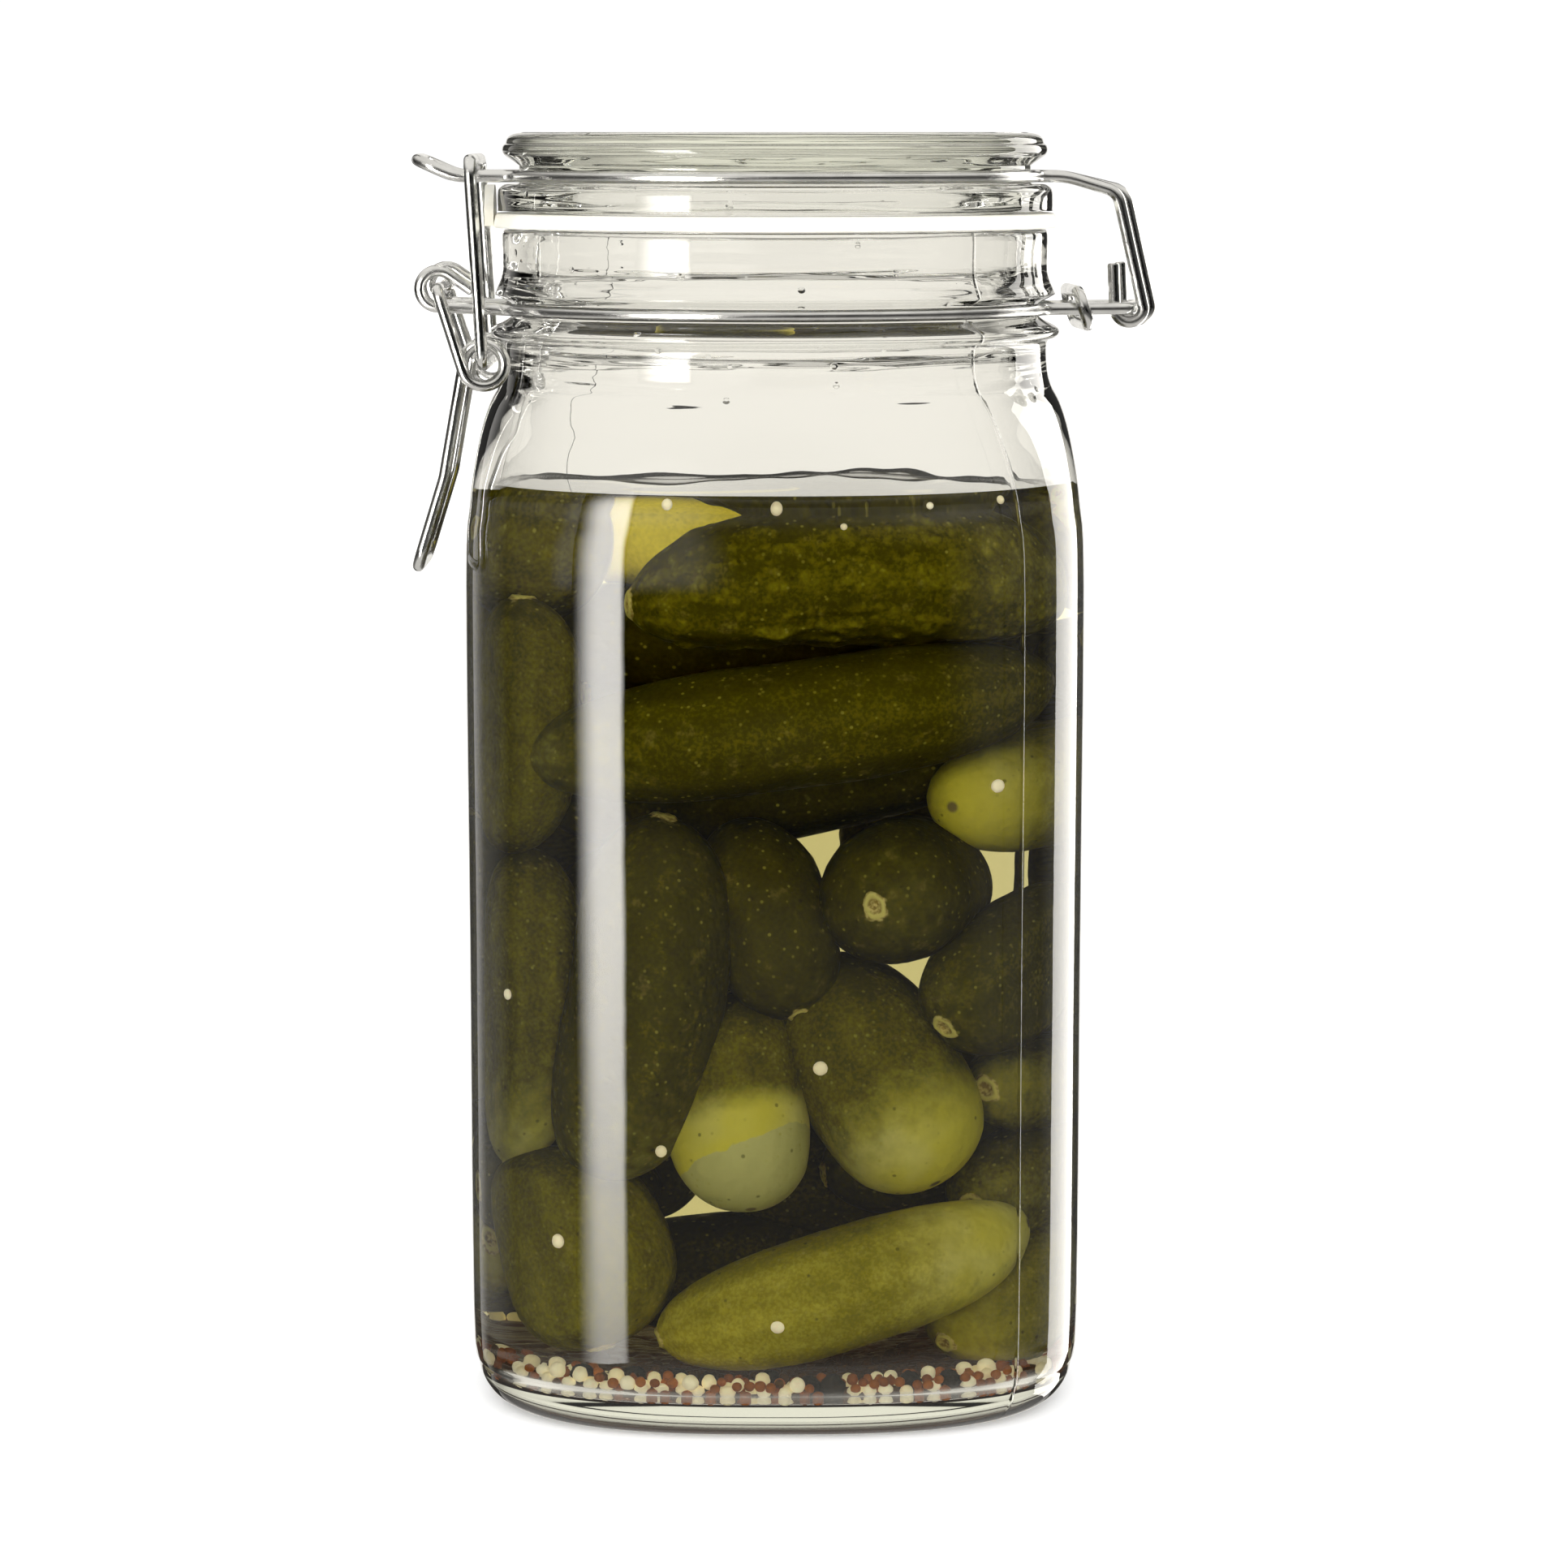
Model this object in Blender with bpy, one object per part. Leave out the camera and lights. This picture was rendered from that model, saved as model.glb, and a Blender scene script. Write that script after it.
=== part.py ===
"""Clip top jar of pickled gherkins: a square glass jar with a round neck, a glass lid on a rubber
gasket, a wire bail, a wire neck band, and the lever and link that clamp the lid down.

Metres, +Z up. The origin is the middle of the jar's underside. The lever clasp is on the -X side,
the hinge on the +X side, and the side that is seen first faces -Y.
"""

import math
import random

import bmesh
import bpy
from mathutils import Vector

# Driving dimensions, in metres.
HEIGHT = 0.2198
BODY_HALF = 0.0539
BASE_HALF = 0.0533
BODY_POWER = 2.73
ROUND_POWER = 2.0
NECK_R = 0.0474
MOUTH_R = 0.0424
RIM_Z = 0.2031
FLOOR_Z = 0.0056
WALL = 0.0036
INNER_LOW_Z = 0.0200
INNER_HIGH_Z = 0.1340
FLOOR_INSET = 0.0011
FLOOR_INSET_Z = 0.0100
SHOULDER_INSET = 0.0012
SHOULDER_INSET_LOW_Z = 0.1460
SHOULDER_INSET_HIGH_Z = 0.1580
JAR_SIDES = 44

# Lid and gasket.
LID_R = 0.0473
LID_GROOVE_R = 0.0444
LID_FLANGE_R = 0.0481
LID_FLANGE_Z = 0.2063
LID_PLUG_R = 0.0412
LID_SIDES = 36
GASKET_TOP_Z = 0.2059
GASKET_BOTTOM_Z = 0.2034
GASKET_TOP_R = 0.0487
GASKET_BOTTOM_R = 0.0491
GASKET_BORE_R = 0.0428
TAB_HALF = 0.0060
TAB_IN_X = -0.0487
TAB_OUT_X = -0.0503
TAB_TOP_Z = 0.2108

# Wires.
WIRE_R = 0.00105
RING_LEAD = math.radians(4.5)
WIRE_SIDES_LEVEL = 2
ARC_STEP = math.radians(30.0)
RING_STEP = math.radians(10.0)

BAIL_Z = 0.2123
BAIL_RING_R = 0.04585
BAIL_LOOP_HALF = 0.0100
BAIL_ARM_HALF = 0.0060
BAIL_TIP = (-0.0617, 0.2151)
BAIL_LIFT_X = -0.0553
BAIL_ARM_TOP = (0.0505, 0.2122)
BAIL_ARM_BEND = (0.0602, 0.2096)
BAIL_ARM_BEND_R = 0.0032
BAIL_ARM_TOP_BEND_R = 0.0120
BAIL_RING_BEND_R = 0.0026
BAIL_LOOP_BEND_R = 0.0030
BAIL_LIFT_BEND_R = 0.0090
BAIL_TIP_BEND_R = 0.0035

HINGE = (0.0623, 0.1896)
HINGE_SKEW = 0.16
HOOK_R = 0.00245
HOOK_STUB = (0.0595, 0.1973)

BAND_Z = 0.18945
BAND_RING_R = 0.0473
BAND_EYE = (-0.0579, 0.1931)
BAND_EYE_R = 0.0031
BAND_EYE_HALF = 0.0136
BAND_TAIL = (-0.0519, 0.1927)
BAND_TAIL_ANGLE = math.radians(55.0)
BAND_U_HALF = 0.0090
BAND_RING_BEND_R = 0.0034
BAND_U_BEND_R = 0.0022

CLIP_X = 0.0526
CLIP_HALF = 0.01145
CLIP_RISE = 0.0029
CLIP_TURN = 0.06
CLIP_LEAN = 0.30

LEVER_PIVOT = (-0.0580, 0.1931)
LEVER_ARM_HALF = 0.0164
LEVER_LEG_HALF = 0.0140
LEVER_STUB_HALF = 0.0112
COIL = (-0.0501, 0.1801)
COIL_R = 0.0036
COIL_START = math.radians(198.0)
COIL_END = math.radians(548.0)
LEVER_BEND = (-0.0570, 0.1606)
LEVER_TIP = (-0.06175, 0.14515)
LEVER_PIVOT_BEND_R = 0.0017
LEVER_LEG_BEND_R = 0.0100
LEVER_TIP_BEND_R = 0.0036

LINK_HALF = 0.0189
LINK_TOP = (-0.0522, 0.2151)
LINK_CORNER_R = 0.0026

# Contents.
GAP = 0.0005
HEAP_TOP_Z = 0.1582
HEAP_FLOOR_Z = 0.0098
CORE_HALF = 0.0345
CORE_BOTTOM_Z = 0.0138
CORE_TOP_Z = 0.1420
CORE_SIDES = 16
GHERKIN_SIDES = 7
GHERKIN_STATIONS = (0.06, 0.30, 0.70, 0.94)
GHERKIN_BLUNTNESS = 3.0

SEED_BED_HALF = 0.0430
SEED_BED_BOTTOM_Z = 0.0061
SEED_BED_TOP_Z = 0.0074
SEED_REACH = 0.0455
SEED_ROW_STEP = 0.0022
PEPPER_R = 0.0018
PEPPER_EVERY = 11
MUSTARD_MIN_R = 0.0010
MUSTARD_MAX_R = 0.0013
SEED_COUNT = 40
SEED_SEED = 7

# Each gherkin: one tip, the other tip, its thickest radius, and how far its middle bows.
FRONT_GHERKINS = (
    ((-0.0235, -0.034, 0.1405), (0.046, -0.022, 0.142), 0.0114, (0.000, -0.003, 0.004)),
    ((-0.040, -0.032, 0.114), (0.044, -0.026, 0.127), 0.0107, (0.000, -0.008, 0.000)),
    ((-0.038, -0.022, 0.141), (-0.041, -0.023, 0.097), 0.0092, (0.000, -0.003, 0.000)),
    ((-0.045, -0.012, 0.151), (-0.0255, -0.010, 0.144), 0.0115, (0.000, 0.000, 0.001)),
    ((-0.037, -0.004, 0.135), (0.030, -0.010, 0.130), 0.0098, (0.000, 0.000, -0.001)),
    ((-0.034, -0.012, 0.104), (0.034, -0.016, 0.116), 0.0098, (0.000, 0.000, -0.001)),
    ((0.044, 0.004, 0.110), (0.028, -0.030, 0.106), 0.0105, (0.002, 0.000, 0.000)),
    ((0.0165, -0.045, 0.0905), (0.0235, -0.012, 0.0925), 0.0122, (0.000, 0.000, 0.000)),
    ((0.0275, -0.038, 0.069), (0.047, -0.012, 0.086), 0.0116, (0.001, -0.001, 0.000)),
    ((0.004, -0.036, 0.071), (-0.0065, -0.022, 0.103), 0.0103, (0.000, -0.002, 0.000)),
    ((-0.018, -0.034, 0.105), (-0.028, -0.033, 0.042), 0.0128, (0.002, -0.003, 0.000)),
    ((-0.041, -0.025, 0.043), (-0.037, -0.021, 0.098), 0.0088, (0.000, -0.003, 0.000)),
    ((-0.008, -0.024, 0.073), (-0.004, -0.039, 0.038), 0.0120, (0.000, -0.001, 0.000)),
    ((0.006, -0.022, 0.079), (0.026, -0.037, 0.042), 0.0130, (0.000, -0.001, 0.000)),
    ((0.033, -0.028, 0.057), (0.044, 0.006, 0.055), 0.0088, (0.002, 0.000, 0.000)),
    ((0.031, -0.028, 0.037), (0.044, 0.002, 0.043), 0.0098, (0.002, 0.000, 0.000)),
    ((-0.019, -0.035, 0.015), (0.041, -0.032, 0.034), 0.0102, (0.000, -0.005, 0.000)),
    ((0.027, -0.028, 0.013), (0.046, -0.010, 0.027), 0.0110, (0.001, -0.001, 0.000)),
    ((-0.028, -0.034, 0.013), (-0.038, -0.024, 0.046), 0.0138, (0.002, -0.001, 0.000)),
    ((-0.046, -0.014, 0.037), (-0.018, -0.006, 0.038), 0.0085, (0.000, 0.000, 0.000)),
    ((-0.042, -0.014, 0.028), (-0.036, 0.010, 0.017), 0.0080, (-0.001, 0.000, 0.000)),
)
LEFT_GHERKINS = (
    ((-0.041, -0.003, 0.150), (-0.040, 0.004, 0.101), 0.0108, (-0.001, 0.000, 0.000)),
    ((-0.036, 0.029, 0.146), (-0.038, 0.025, 0.104), 0.0105, (-0.001, 0.001, 0.000)),
    ((-0.042, -0.004, 0.102), (-0.042, 0.000, 0.050), 0.0100, (-0.001, 0.000, 0.000)),
    ((-0.039, 0.017, 0.100), (-0.038, 0.021, 0.050), 0.0115, (-0.002, 0.000, 0.000)),
    ((-0.042, 0.002, 0.050), (-0.034, 0.032, 0.040), 0.0100, (-0.003, 0.003, 0.000)),
    ((-0.032, 0.032, 0.030), (-0.041, 0.004, 0.019), 0.0090, (-0.002, 0.002, 0.000)),
)
RIGHT_GHERKINS = (
    ((0.041, -0.008, 0.152), (0.035, 0.034, 0.140), 0.0105, (0.003, 0.001, 0.000)),
    ((0.042, 0.000, 0.132), (0.036, 0.032, 0.114), 0.0105, (0.002, 0.001, 0.000)),
    ((0.041, 0.013, 0.108), (0.041, 0.019, 0.064), 0.0112, (0.001, 0.000, 0.000)),
    ((0.036, 0.031, 0.100), (0.037, 0.030, 0.054), 0.0100, (0.001, 0.001, 0.000)),
    ((0.042, -0.004, 0.080), (0.042, -0.001, 0.048), 0.0095, (0.001, 0.000, 0.000)),
    ((0.037, 0.026, 0.056), (0.040, 0.010, 0.017), 0.0112, (0.001, 0.001, 0.000)),
)
BACK_GHERKINS = (
    ((-0.028, 0.034, 0.149), (0.030, 0.036, 0.143), 0.0112, (0.000, 0.005, 0.000)),
    ((-0.032, 0.033, 0.116), (0.034, 0.034, 0.125), 0.0108, (0.000, 0.007, 0.000)),
    ((-0.029, 0.035, 0.105), (-0.026, 0.036, 0.054), 0.0110, (0.000, 0.001, 0.000)),
    ((-0.011, 0.038, 0.106), (-0.002, 0.038, 0.062), 0.0105, (0.000, 0.001, 0.000)),
    ((0.017, 0.038, 0.113), (0.016, 0.039, 0.079), 0.0068, (0.000, 0.001, 0.000)),
    ((-0.006, 0.036, 0.068), (0.008, 0.038, 0.034), 0.0120, (0.000, 0.001, 0.000)),
    ((0.015, 0.038, 0.062), (0.033, 0.034, 0.038), 0.0105, (0.000, 0.001, 0.000)),
    ((-0.033, 0.031, 0.052), (-0.024, 0.036, 0.018), 0.0098, (-0.001, 0.001, 0.000)),
    ((-0.006, 0.037, 0.022), (0.035, 0.031, 0.020), 0.0100, (0.000, 0.004, 0.000)),
)
TOP_GHERKINS = (
    ((-0.027, -0.003, 0.148), (0.004, 0.002, 0.1485), 0.0102, (0.000, 0.000, 0.001)),
    ((-0.004, 0.008, 0.146), (0.034, 0.014, 0.147), 0.0100, (0.000, 0.000, 0.001)),
)


def clear_scene():
    for item in list(bpy.data.objects):
        bpy.data.objects.remove(item, do_unlink=True)


def material(name, colour, roughness, metallic=0.0, transmission=0.0):
    made = bpy.data.materials.new(name)
    made.use_nodes = True
    shader = made.node_tree.nodes["Principled BSDF"]
    shader.inputs["Base Color"].default_value = (*colour, 1.0)
    shader.inputs["Roughness"].default_value = roughness
    shader.inputs["Metallic"].default_value = metallic
    shader.inputs["Transmission Weight"].default_value = transmission
    return made


def place(name, mesh, finish, sharp_degrees=35.0):
    """Links a mesh to the scene as a named object with its material and smooth shading."""
    mesh.materials.clear()
    mesh.materials.append(finish)
    mesh.shade_smooth()
    mesh.set_sharp_from_angle(angle=math.radians(sharp_degrees))
    item = bpy.data.objects.new(name, mesh)
    bpy.context.scene.collection.objects.link(item)
    return item


def squircle_ring(half, power, height, sides):
    """Points round |x|^power + |y|^power = half^power: a circle at power 2, squarer above it."""
    ring = []
    for index in range(sides):
        angle = math.tau * index / sides
        across, along = math.cos(angle), math.sin(angle)
        reach = half / (abs(across) ** power + abs(along) ** power) ** (1.0 / power)
        ring.append(Vector((reach * across, reach * along, height)))
    return ring


def loft(name, rings):
    """A closed mesh through rings of equal count, capped flat at both ends."""
    shape = bmesh.new()
    loops = [[shape.verts.new(point) for point in ring] for ring in rings]
    count = len(loops[0])
    for low, high in zip(loops, loops[1:]):
        for index in range(count):
            after = (index + 1) % count
            shape.faces.new((low[index], low[after], high[after], high[index]))
    shape.faces.new(list(reversed(loops[0])))
    shape.faces.new(loops[-1])
    bmesh.ops.recalc_face_normals(shape, faces=shape.faces)
    mesh = bpy.data.meshes.new(name)
    shape.to_mesh(mesh)
    shape.free()
    return mesh


def fuse(name, base_mesh, added_meshes, solver="EXACT"):
    """One closed mesh: the base with every added mesh joined to it by a Boolean union."""
    base = bpy.data.objects.new(name + "_base", base_mesh)
    bpy.context.scene.collection.objects.link(base)
    group = bpy.data.collections.new(name + "_added")
    bpy.context.scene.collection.children.link(group)
    for index, mesh in enumerate(added_meshes):
        group.objects.link(bpy.data.objects.new(f"{name}_added_{index}", mesh))
    union = base.modifiers.new("union", "BOOLEAN")
    union.operation = "UNION"
    union.operand_type = "COLLECTION"
    union.collection = group
    union.solver = solver
    bpy.context.view_layer.update()
    evaluated = base.evaluated_get(bpy.context.evaluated_depsgraph_get())
    joined = bpy.data.meshes.new_from_object(evaluated)
    joined.name = name
    for item in list(group.objects) + [base]:
        bpy.data.objects.remove(item, do_unlink=True)
    bpy.data.collections.remove(group)
    return joined


def keep_largest_body(mesh):
    """Drops the loose scraps that a union can leave, and keeps the one main body."""
    shape = bmesh.new()
    shape.from_mesh(mesh)
    unseen = set(shape.verts)
    bodies = []
    while unseen:
        edge_of_body = [unseen.pop()]
        body = set(edge_of_body)
        while edge_of_body:
            vertex = edge_of_body.pop()
            for edge in vertex.link_edges:
                other = edge.other_vert(vertex)
                if other in unseen:
                    unseen.remove(other)
                    body.add(other)
                    edge_of_body.append(other)
        bodies.append(body)
    bodies.sort(key=len)
    scraps = [vertex for body in bodies[:-1] for vertex in body]
    bmesh.ops.delete(shape, geom=scraps, context="VERTS")
    shape.to_mesh(mesh)
    shape.free()
    return mesh


# Routes of the wires.


def side_point(place_xz, offset):
    """A point of the clasp or hinge, given its (x, z) and how far it is from the middle plane."""
    return Vector((place_xz[0], offset, place_xz[1]))


def hinge_point(place_xz, offset):
    """A point at the hinge, whose bar runs slightly askew."""
    return Vector((place_xz[0] + HINGE_SKEW * offset, offset, place_xz[1]))


def turn(centre_xz, radius, start, end, near, far, step=ARC_STEP):
    """Points of an arc about an axis along Y that drifts from the near to the far offset."""
    count = max(2, math.ceil(abs(end - start) / step))
    points = []
    for index in range(count + 1):
        share = index / count
        angle = start + (end - start) * share
        across = centre_xz[0] + radius * math.cos(angle)
        height = centre_xz[1] + radius * math.sin(angle)
        points.append(Vector((across, near + (far - near) * share, height)))
    return points


def ring_arc(radius, height, start, end, side):
    """Points round the jar's axis between two angles from +X, on the side of that sign of Y."""
    count = max(2, math.ceil(abs(end - start) / RING_STEP))
    points = []
    for index in range(count + 1):
        angle = start + (end - start) * index / count
        points.append(Vector((radius * math.cos(angle), side * radius * math.sin(angle), height)))
    return points


def rounded(corners, cyclic=False):
    """The points of a route whose corners, given as (point, radius), are bent to their radius."""
    count = len(corners)
    points = []
    for index, (corner, radius) in enumerate(corners):
        is_end = not cyclic and index in (0, count - 1)
        if radius == 0.0 or is_end:
            points.append(corner)
            continue
        back = (corners[index - 1][0] - corner).normalized()
        ahead = (corners[(index + 1) % count][0] - corner).normalized()
        half_angle = back.angle(ahead) / 2.0
        reach = radius / math.tan(half_angle)
        middle = corner + (back + ahead).normalized() * (radius / math.sin(half_angle))
        first = corner + back * reach - middle
        last = corner + ahead * reach - middle
        swing = math.pi - 2.0 * half_angle
        steps = max(2, math.ceil(swing / ARC_STEP))
        for step in range(steps + 1):
            share = step / steps
            start_part = first * (math.sin((1.0 - share) * swing) / math.sin(swing))
            end_part = last * (math.sin(share * swing) / math.sin(swing))
            points.append(middle + start_part + end_part)
    return points


def plain(points):
    """Route corners that keep their sharp place, for points that already lie on a curve."""
    return [(point, 0.0) for point in points]


def wire(name, points, finish, cyclic=False):
    """A round wire along the points, as a curve with filled ends."""
    curve = bpy.data.curves.new(name, "CURVE")
    curve.dimensions = "3D"
    curve.bevel_depth = WIRE_R
    curve.bevel_resolution = WIRE_SIDES_LEVEL
    curve.resolution_u = 1
    curve.render_resolution_u = 0
    curve.use_fill_caps = not cyclic
    spline = curve.splines.new("POLY")
    spline.points.add(len(points) - 1)
    for slot, point in zip(spline.points, points):
        slot.co = (*point, 1.0)
    spline.use_cyclic_u = cyclic
    curve.materials.append(finish)
    item = bpy.data.objects.new(name, curve)
    bpy.context.scene.collection.objects.link(item)
    return item


def bail_half(side):
    """The bail from its hinge stub round one side of the lid to the middle of its upturned tip."""
    arm_y = side * BAIL_ARM_HALF
    loop_y = side * BAIL_LOOP_HALF
    leave_right = math.asin(BAIL_ARM_HALF / BAIL_RING_R)
    leave_left = math.asin(BAIL_LOOP_HALF / BAIL_RING_R)
    hook = turn(HINGE, HOOK_R, math.pi, math.tau, arm_y, arm_y)
    skew = Vector((HINGE_SKEW * arm_y, 0.0, 0.0))
    right_x = BAIL_RING_R * math.cos(leave_right)
    left_x = -BAIL_RING_R * math.cos(leave_left)
    route = [(hinge_point(HOOK_STUB, arm_y), 0.0)]
    route += plain(point + skew for point in hook)
    route += [(hinge_point(BAIL_ARM_BEND, arm_y), BAIL_ARM_BEND_R)]
    route += [(side_point(BAIL_ARM_TOP, arm_y), BAIL_ARM_TOP_BEND_R)]
    route += [(Vector((right_x, arm_y, BAIL_Z)), BAIL_RING_BEND_R)]
    start, end = leave_right + RING_LEAD, math.pi - leave_left - RING_LEAD
    route += plain(ring_arc(BAIL_RING_R, BAIL_Z, start, end, side))
    route += [(Vector((left_x, loop_y, BAIL_Z)), BAIL_LOOP_BEND_R)]
    route += [(Vector((BAIL_LIFT_X, loop_y, BAIL_Z)), BAIL_LIFT_BEND_R)]
    route += [(side_point(BAIL_TIP, loop_y), BAIL_TIP_BEND_R)]
    return route


def build_bail(finish):
    route = bail_half(-1) + list(reversed(bail_half(1)))
    return wire("bail", rounded(route), finish)


def neck_band_half(side):
    """The band from its eye's tail round one side of the neck to a corner of the hinge loop."""
    eye_y = side * BAND_EYE_HALF
    u_y = side * BAND_U_HALF
    leave_left = math.asin(BAND_EYE_HALF / BAND_RING_R)
    leave_right = math.asin(BAND_U_HALF / BAND_RING_R)
    eye = turn(BAND_EYE, BAND_EYE_R, BAND_TAIL_ANGLE, 1.5 * math.pi, eye_y, eye_y)
    left_x = -BAND_RING_R * math.cos(leave_left)
    right_x = BAND_RING_R * math.cos(leave_right)
    route = [(side_point(BAND_TAIL, eye_y), 0.0)]
    route += plain(eye)
    route += [(Vector((left_x, eye_y, BAND_Z)), BAND_RING_BEND_R)]
    start, end = math.pi - leave_left - RING_LEAD, leave_right + RING_LEAD
    route += plain(ring_arc(BAND_RING_R, BAND_Z, start, end, side))
    route += [(Vector((right_x, u_y, BAND_Z)), BAND_RING_BEND_R)]
    route += [(hinge_point(HINGE, u_y), BAND_U_BEND_R)]
    return route


def build_neck_band(finish):
    route = neck_band_half(-1) + list(reversed(neck_band_half(1)))
    return wire("neck_band", rounded(route), finish)


def lever_half(side):
    """The lever from its pivot stub, down the arm, once round the coil and down to the tip."""
    arm_y = side * LEVER_ARM_HALF
    leg_y = side * LEVER_LEG_HALF
    route = [(side_point(LEVER_PIVOT, side * LEVER_STUB_HALF), 0.0)]
    route += [(side_point(LEVER_PIVOT, arm_y), LEVER_PIVOT_BEND_R)]
    route += plain(turn(COIL, COIL_R, COIL_START, COIL_END, arm_y, leg_y))
    route += [(side_point(LEVER_BEND, leg_y), LEVER_LEG_BEND_R)]
    route += [(side_point(LEVER_TIP, leg_y), LEVER_TIP_BEND_R)]
    return route


def build_lever(finish):
    route = lever_half(-1) + list(reversed(lever_half(1)))
    return wire("lever", rounded(route), finish)


def build_link(finish):
    corners = [
        (side_point(LINK_TOP, -LINK_HALF), LINK_CORNER_R),
        (side_point(COIL, -LINK_HALF), LINK_CORNER_R),
        (side_point(COIL, LINK_HALF), LINK_CORNER_R),
        (side_point(LINK_TOP, LINK_HALF), LINK_CORNER_R),
    ]
    return wire("link", rounded(corners, cyclic=True), finish, cyclic=True)


def build_clip_ring(finish):
    """A flat ring of wire round both strands of the neck band, just before the hinge."""
    corners = []
    for offset, rise in ((-1, 1), (-1, -1), (1, -1), (1, 1)):
        y = offset * CLIP_HALF
        lift = rise * CLIP_RISE
        x = CLIP_X - CLIP_TURN * y - CLIP_LEAN * lift
        corners.append((Vector((x, y, HINGE[1] + lift)), CLIP_RISE * 0.95))
    return wire("clip_ring", rounded(corners, cyclic=True), finish, cyclic=True)


# Glass and rubber.


def jar_outside():
    """(height, half-width, power) up the outside: base, body, shoulder, bead, band groove, rim."""
    return (
        (0.0000, BASE_HALF - 0.0062, 2.70),
        (0.0006, BASE_HALF - 0.0040, 2.70),
        (0.0024, BASE_HALF - 0.0021, 2.72),
        (0.0060, BASE_HALF - 0.0009, BODY_POWER),
        (0.0160, BASE_HALF, BODY_POWER),
        (0.1420, BODY_HALF, BODY_POWER),
        (0.1560, BODY_HALF - 0.0008, 2.66),
        (0.1630, BODY_HALF - 0.0017, 2.50),
        (0.1690, BODY_HALF - 0.0029, 2.30),
        (0.1733, BODY_HALF - 0.0043, 2.14),
        (0.1762, NECK_R + 0.0007, 2.05),
        (0.1794, NECK_R, ROUND_POWER),
        (0.1836, NECK_R, ROUND_POWER),
        (0.1845, NECK_R + 0.0016, ROUND_POWER),
        (0.1854, NECK_R + 0.0021, ROUND_POWER),
        (0.1863, NECK_R + 0.0015, ROUND_POWER),
        (0.1878, NECK_R - 0.0012, ROUND_POWER),
        (0.1887, NECK_R - 0.0016, ROUND_POWER),
        (0.1902, NECK_R - 0.0016, ROUND_POWER),
        (0.1917, NECK_R + 0.0011, ROUND_POWER),
        (0.1924, NECK_R + 0.0012, ROUND_POWER),
        (0.1958, NECK_R, ROUND_POWER),
        (RIM_Z - 0.0008, NECK_R, ROUND_POWER),
        (RIM_Z, NECK_R - 0.0009, ROUND_POWER),
    )


def jar_inside():
    """(height, half-width, power) down the inside: mouth, neck, shoulder, wall, floor."""
    inner_body = BODY_HALF - WALL
    inner_base = BASE_HALF - WALL
    return (
        (RIM_Z, MOUTH_R + 0.0008, ROUND_POWER),
        (RIM_Z - 0.0009, MOUTH_R, ROUND_POWER),
        (0.1860, MOUTH_R, ROUND_POWER),
        (0.1790, MOUTH_R + 0.0012, 2.02),
        (0.1720, inner_body - 0.0046, 2.20),
        (0.1640, inner_body - 0.0020, 2.48),
        (0.1540, inner_body - 0.0005, 2.70),
        (INNER_HIGH_Z, inner_body, BODY_POWER),
        (INNER_LOW_Z, inner_base, BODY_POWER),
        (FLOOR_INSET_Z, inner_base - FLOOR_INSET, BODY_POWER),
        (0.0072, inner_base - 0.0030, 2.72),
        (FLOOR_Z, inner_base - 0.0072, 2.70),
    )


def build_jar(finish):
    profile = jar_outside() + jar_inside()
    rings = [squircle_ring(half, power, height, JAR_SIDES) for height, half, power in profile]
    return place("glass_jar", loft("glass_jar", rings), finish)


def build_lid(finish):
    top = HEIGHT
    profile = (
        (top, 0.0436),
        (top - 0.0003, LID_R - 0.0019),
        (top - 0.0010, LID_R - 0.0009),
        (top - 0.0019, LID_R - 0.0006),
        (top - 0.0022, LID_R - 0.0002),
        (top - 0.0030, LID_R),
        (top - 0.0038, LID_R - 0.0003),
        (top - 0.0045, LID_R - 0.0012),
        (top - 0.0056, LID_GROOVE_R + 0.0001),
        (0.2138, LID_GROOVE_R),
        (0.2110, LID_GROOVE_R),
        (0.2109, LID_FLANGE_R - 0.0016),
        (0.2105, LID_FLANGE_R - 0.0006),
        (0.2096, LID_FLANGE_R),
        (LID_FLANGE_Z + 0.0004, LID_FLANGE_R),
        (LID_FLANGE_Z, LID_FLANGE_R - 0.0005),
        (LID_FLANGE_Z, LID_PLUG_R + 0.0006),
        (LID_FLANGE_Z - 0.0030, LID_PLUG_R),
        (LID_FLANGE_Z - 0.0030, LID_PLUG_R - 0.0040),
        (LID_FLANGE_Z + 0.0030, LID_PLUG_R - 0.0070),
    )
    rings = [squircle_ring(radius, ROUND_POWER, height, LID_SIDES) for height, radius in profile]
    return place("lid", loft("lid", rings), finish)


def gasket_ring():
    """The flat rubber ring, whose outer edge leans out towards the bottom."""
    corners = (
        (GASKET_BORE_R, GASKET_TOP_Z),
        (GASKET_TOP_R, GASKET_TOP_Z),
        (GASKET_BOTTOM_R, GASKET_BOTTOM_Z),
        (GASKET_BORE_R, GASKET_BOTTOM_Z),
    )
    shape = bmesh.new()
    rings = []
    for radius, height in corners:
        points = squircle_ring(radius, ROUND_POWER, height, LID_SIDES)
        rings.append([shape.verts.new(point) for point in points])
    for inner, outer in zip(rings, rings[1:] + rings[:1]):
        for index in range(LID_SIDES):
            after = (index + 1) % LID_SIDES
            shape.faces.new((inner[index], outer[index], outer[after], inner[after]))
    bmesh.ops.recalc_face_normals(shape, faces=shape.faces)
    mesh = bpy.data.meshes.new("gasket_ring")
    shape.to_mesh(mesh)
    shape.free()
    return mesh


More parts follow.
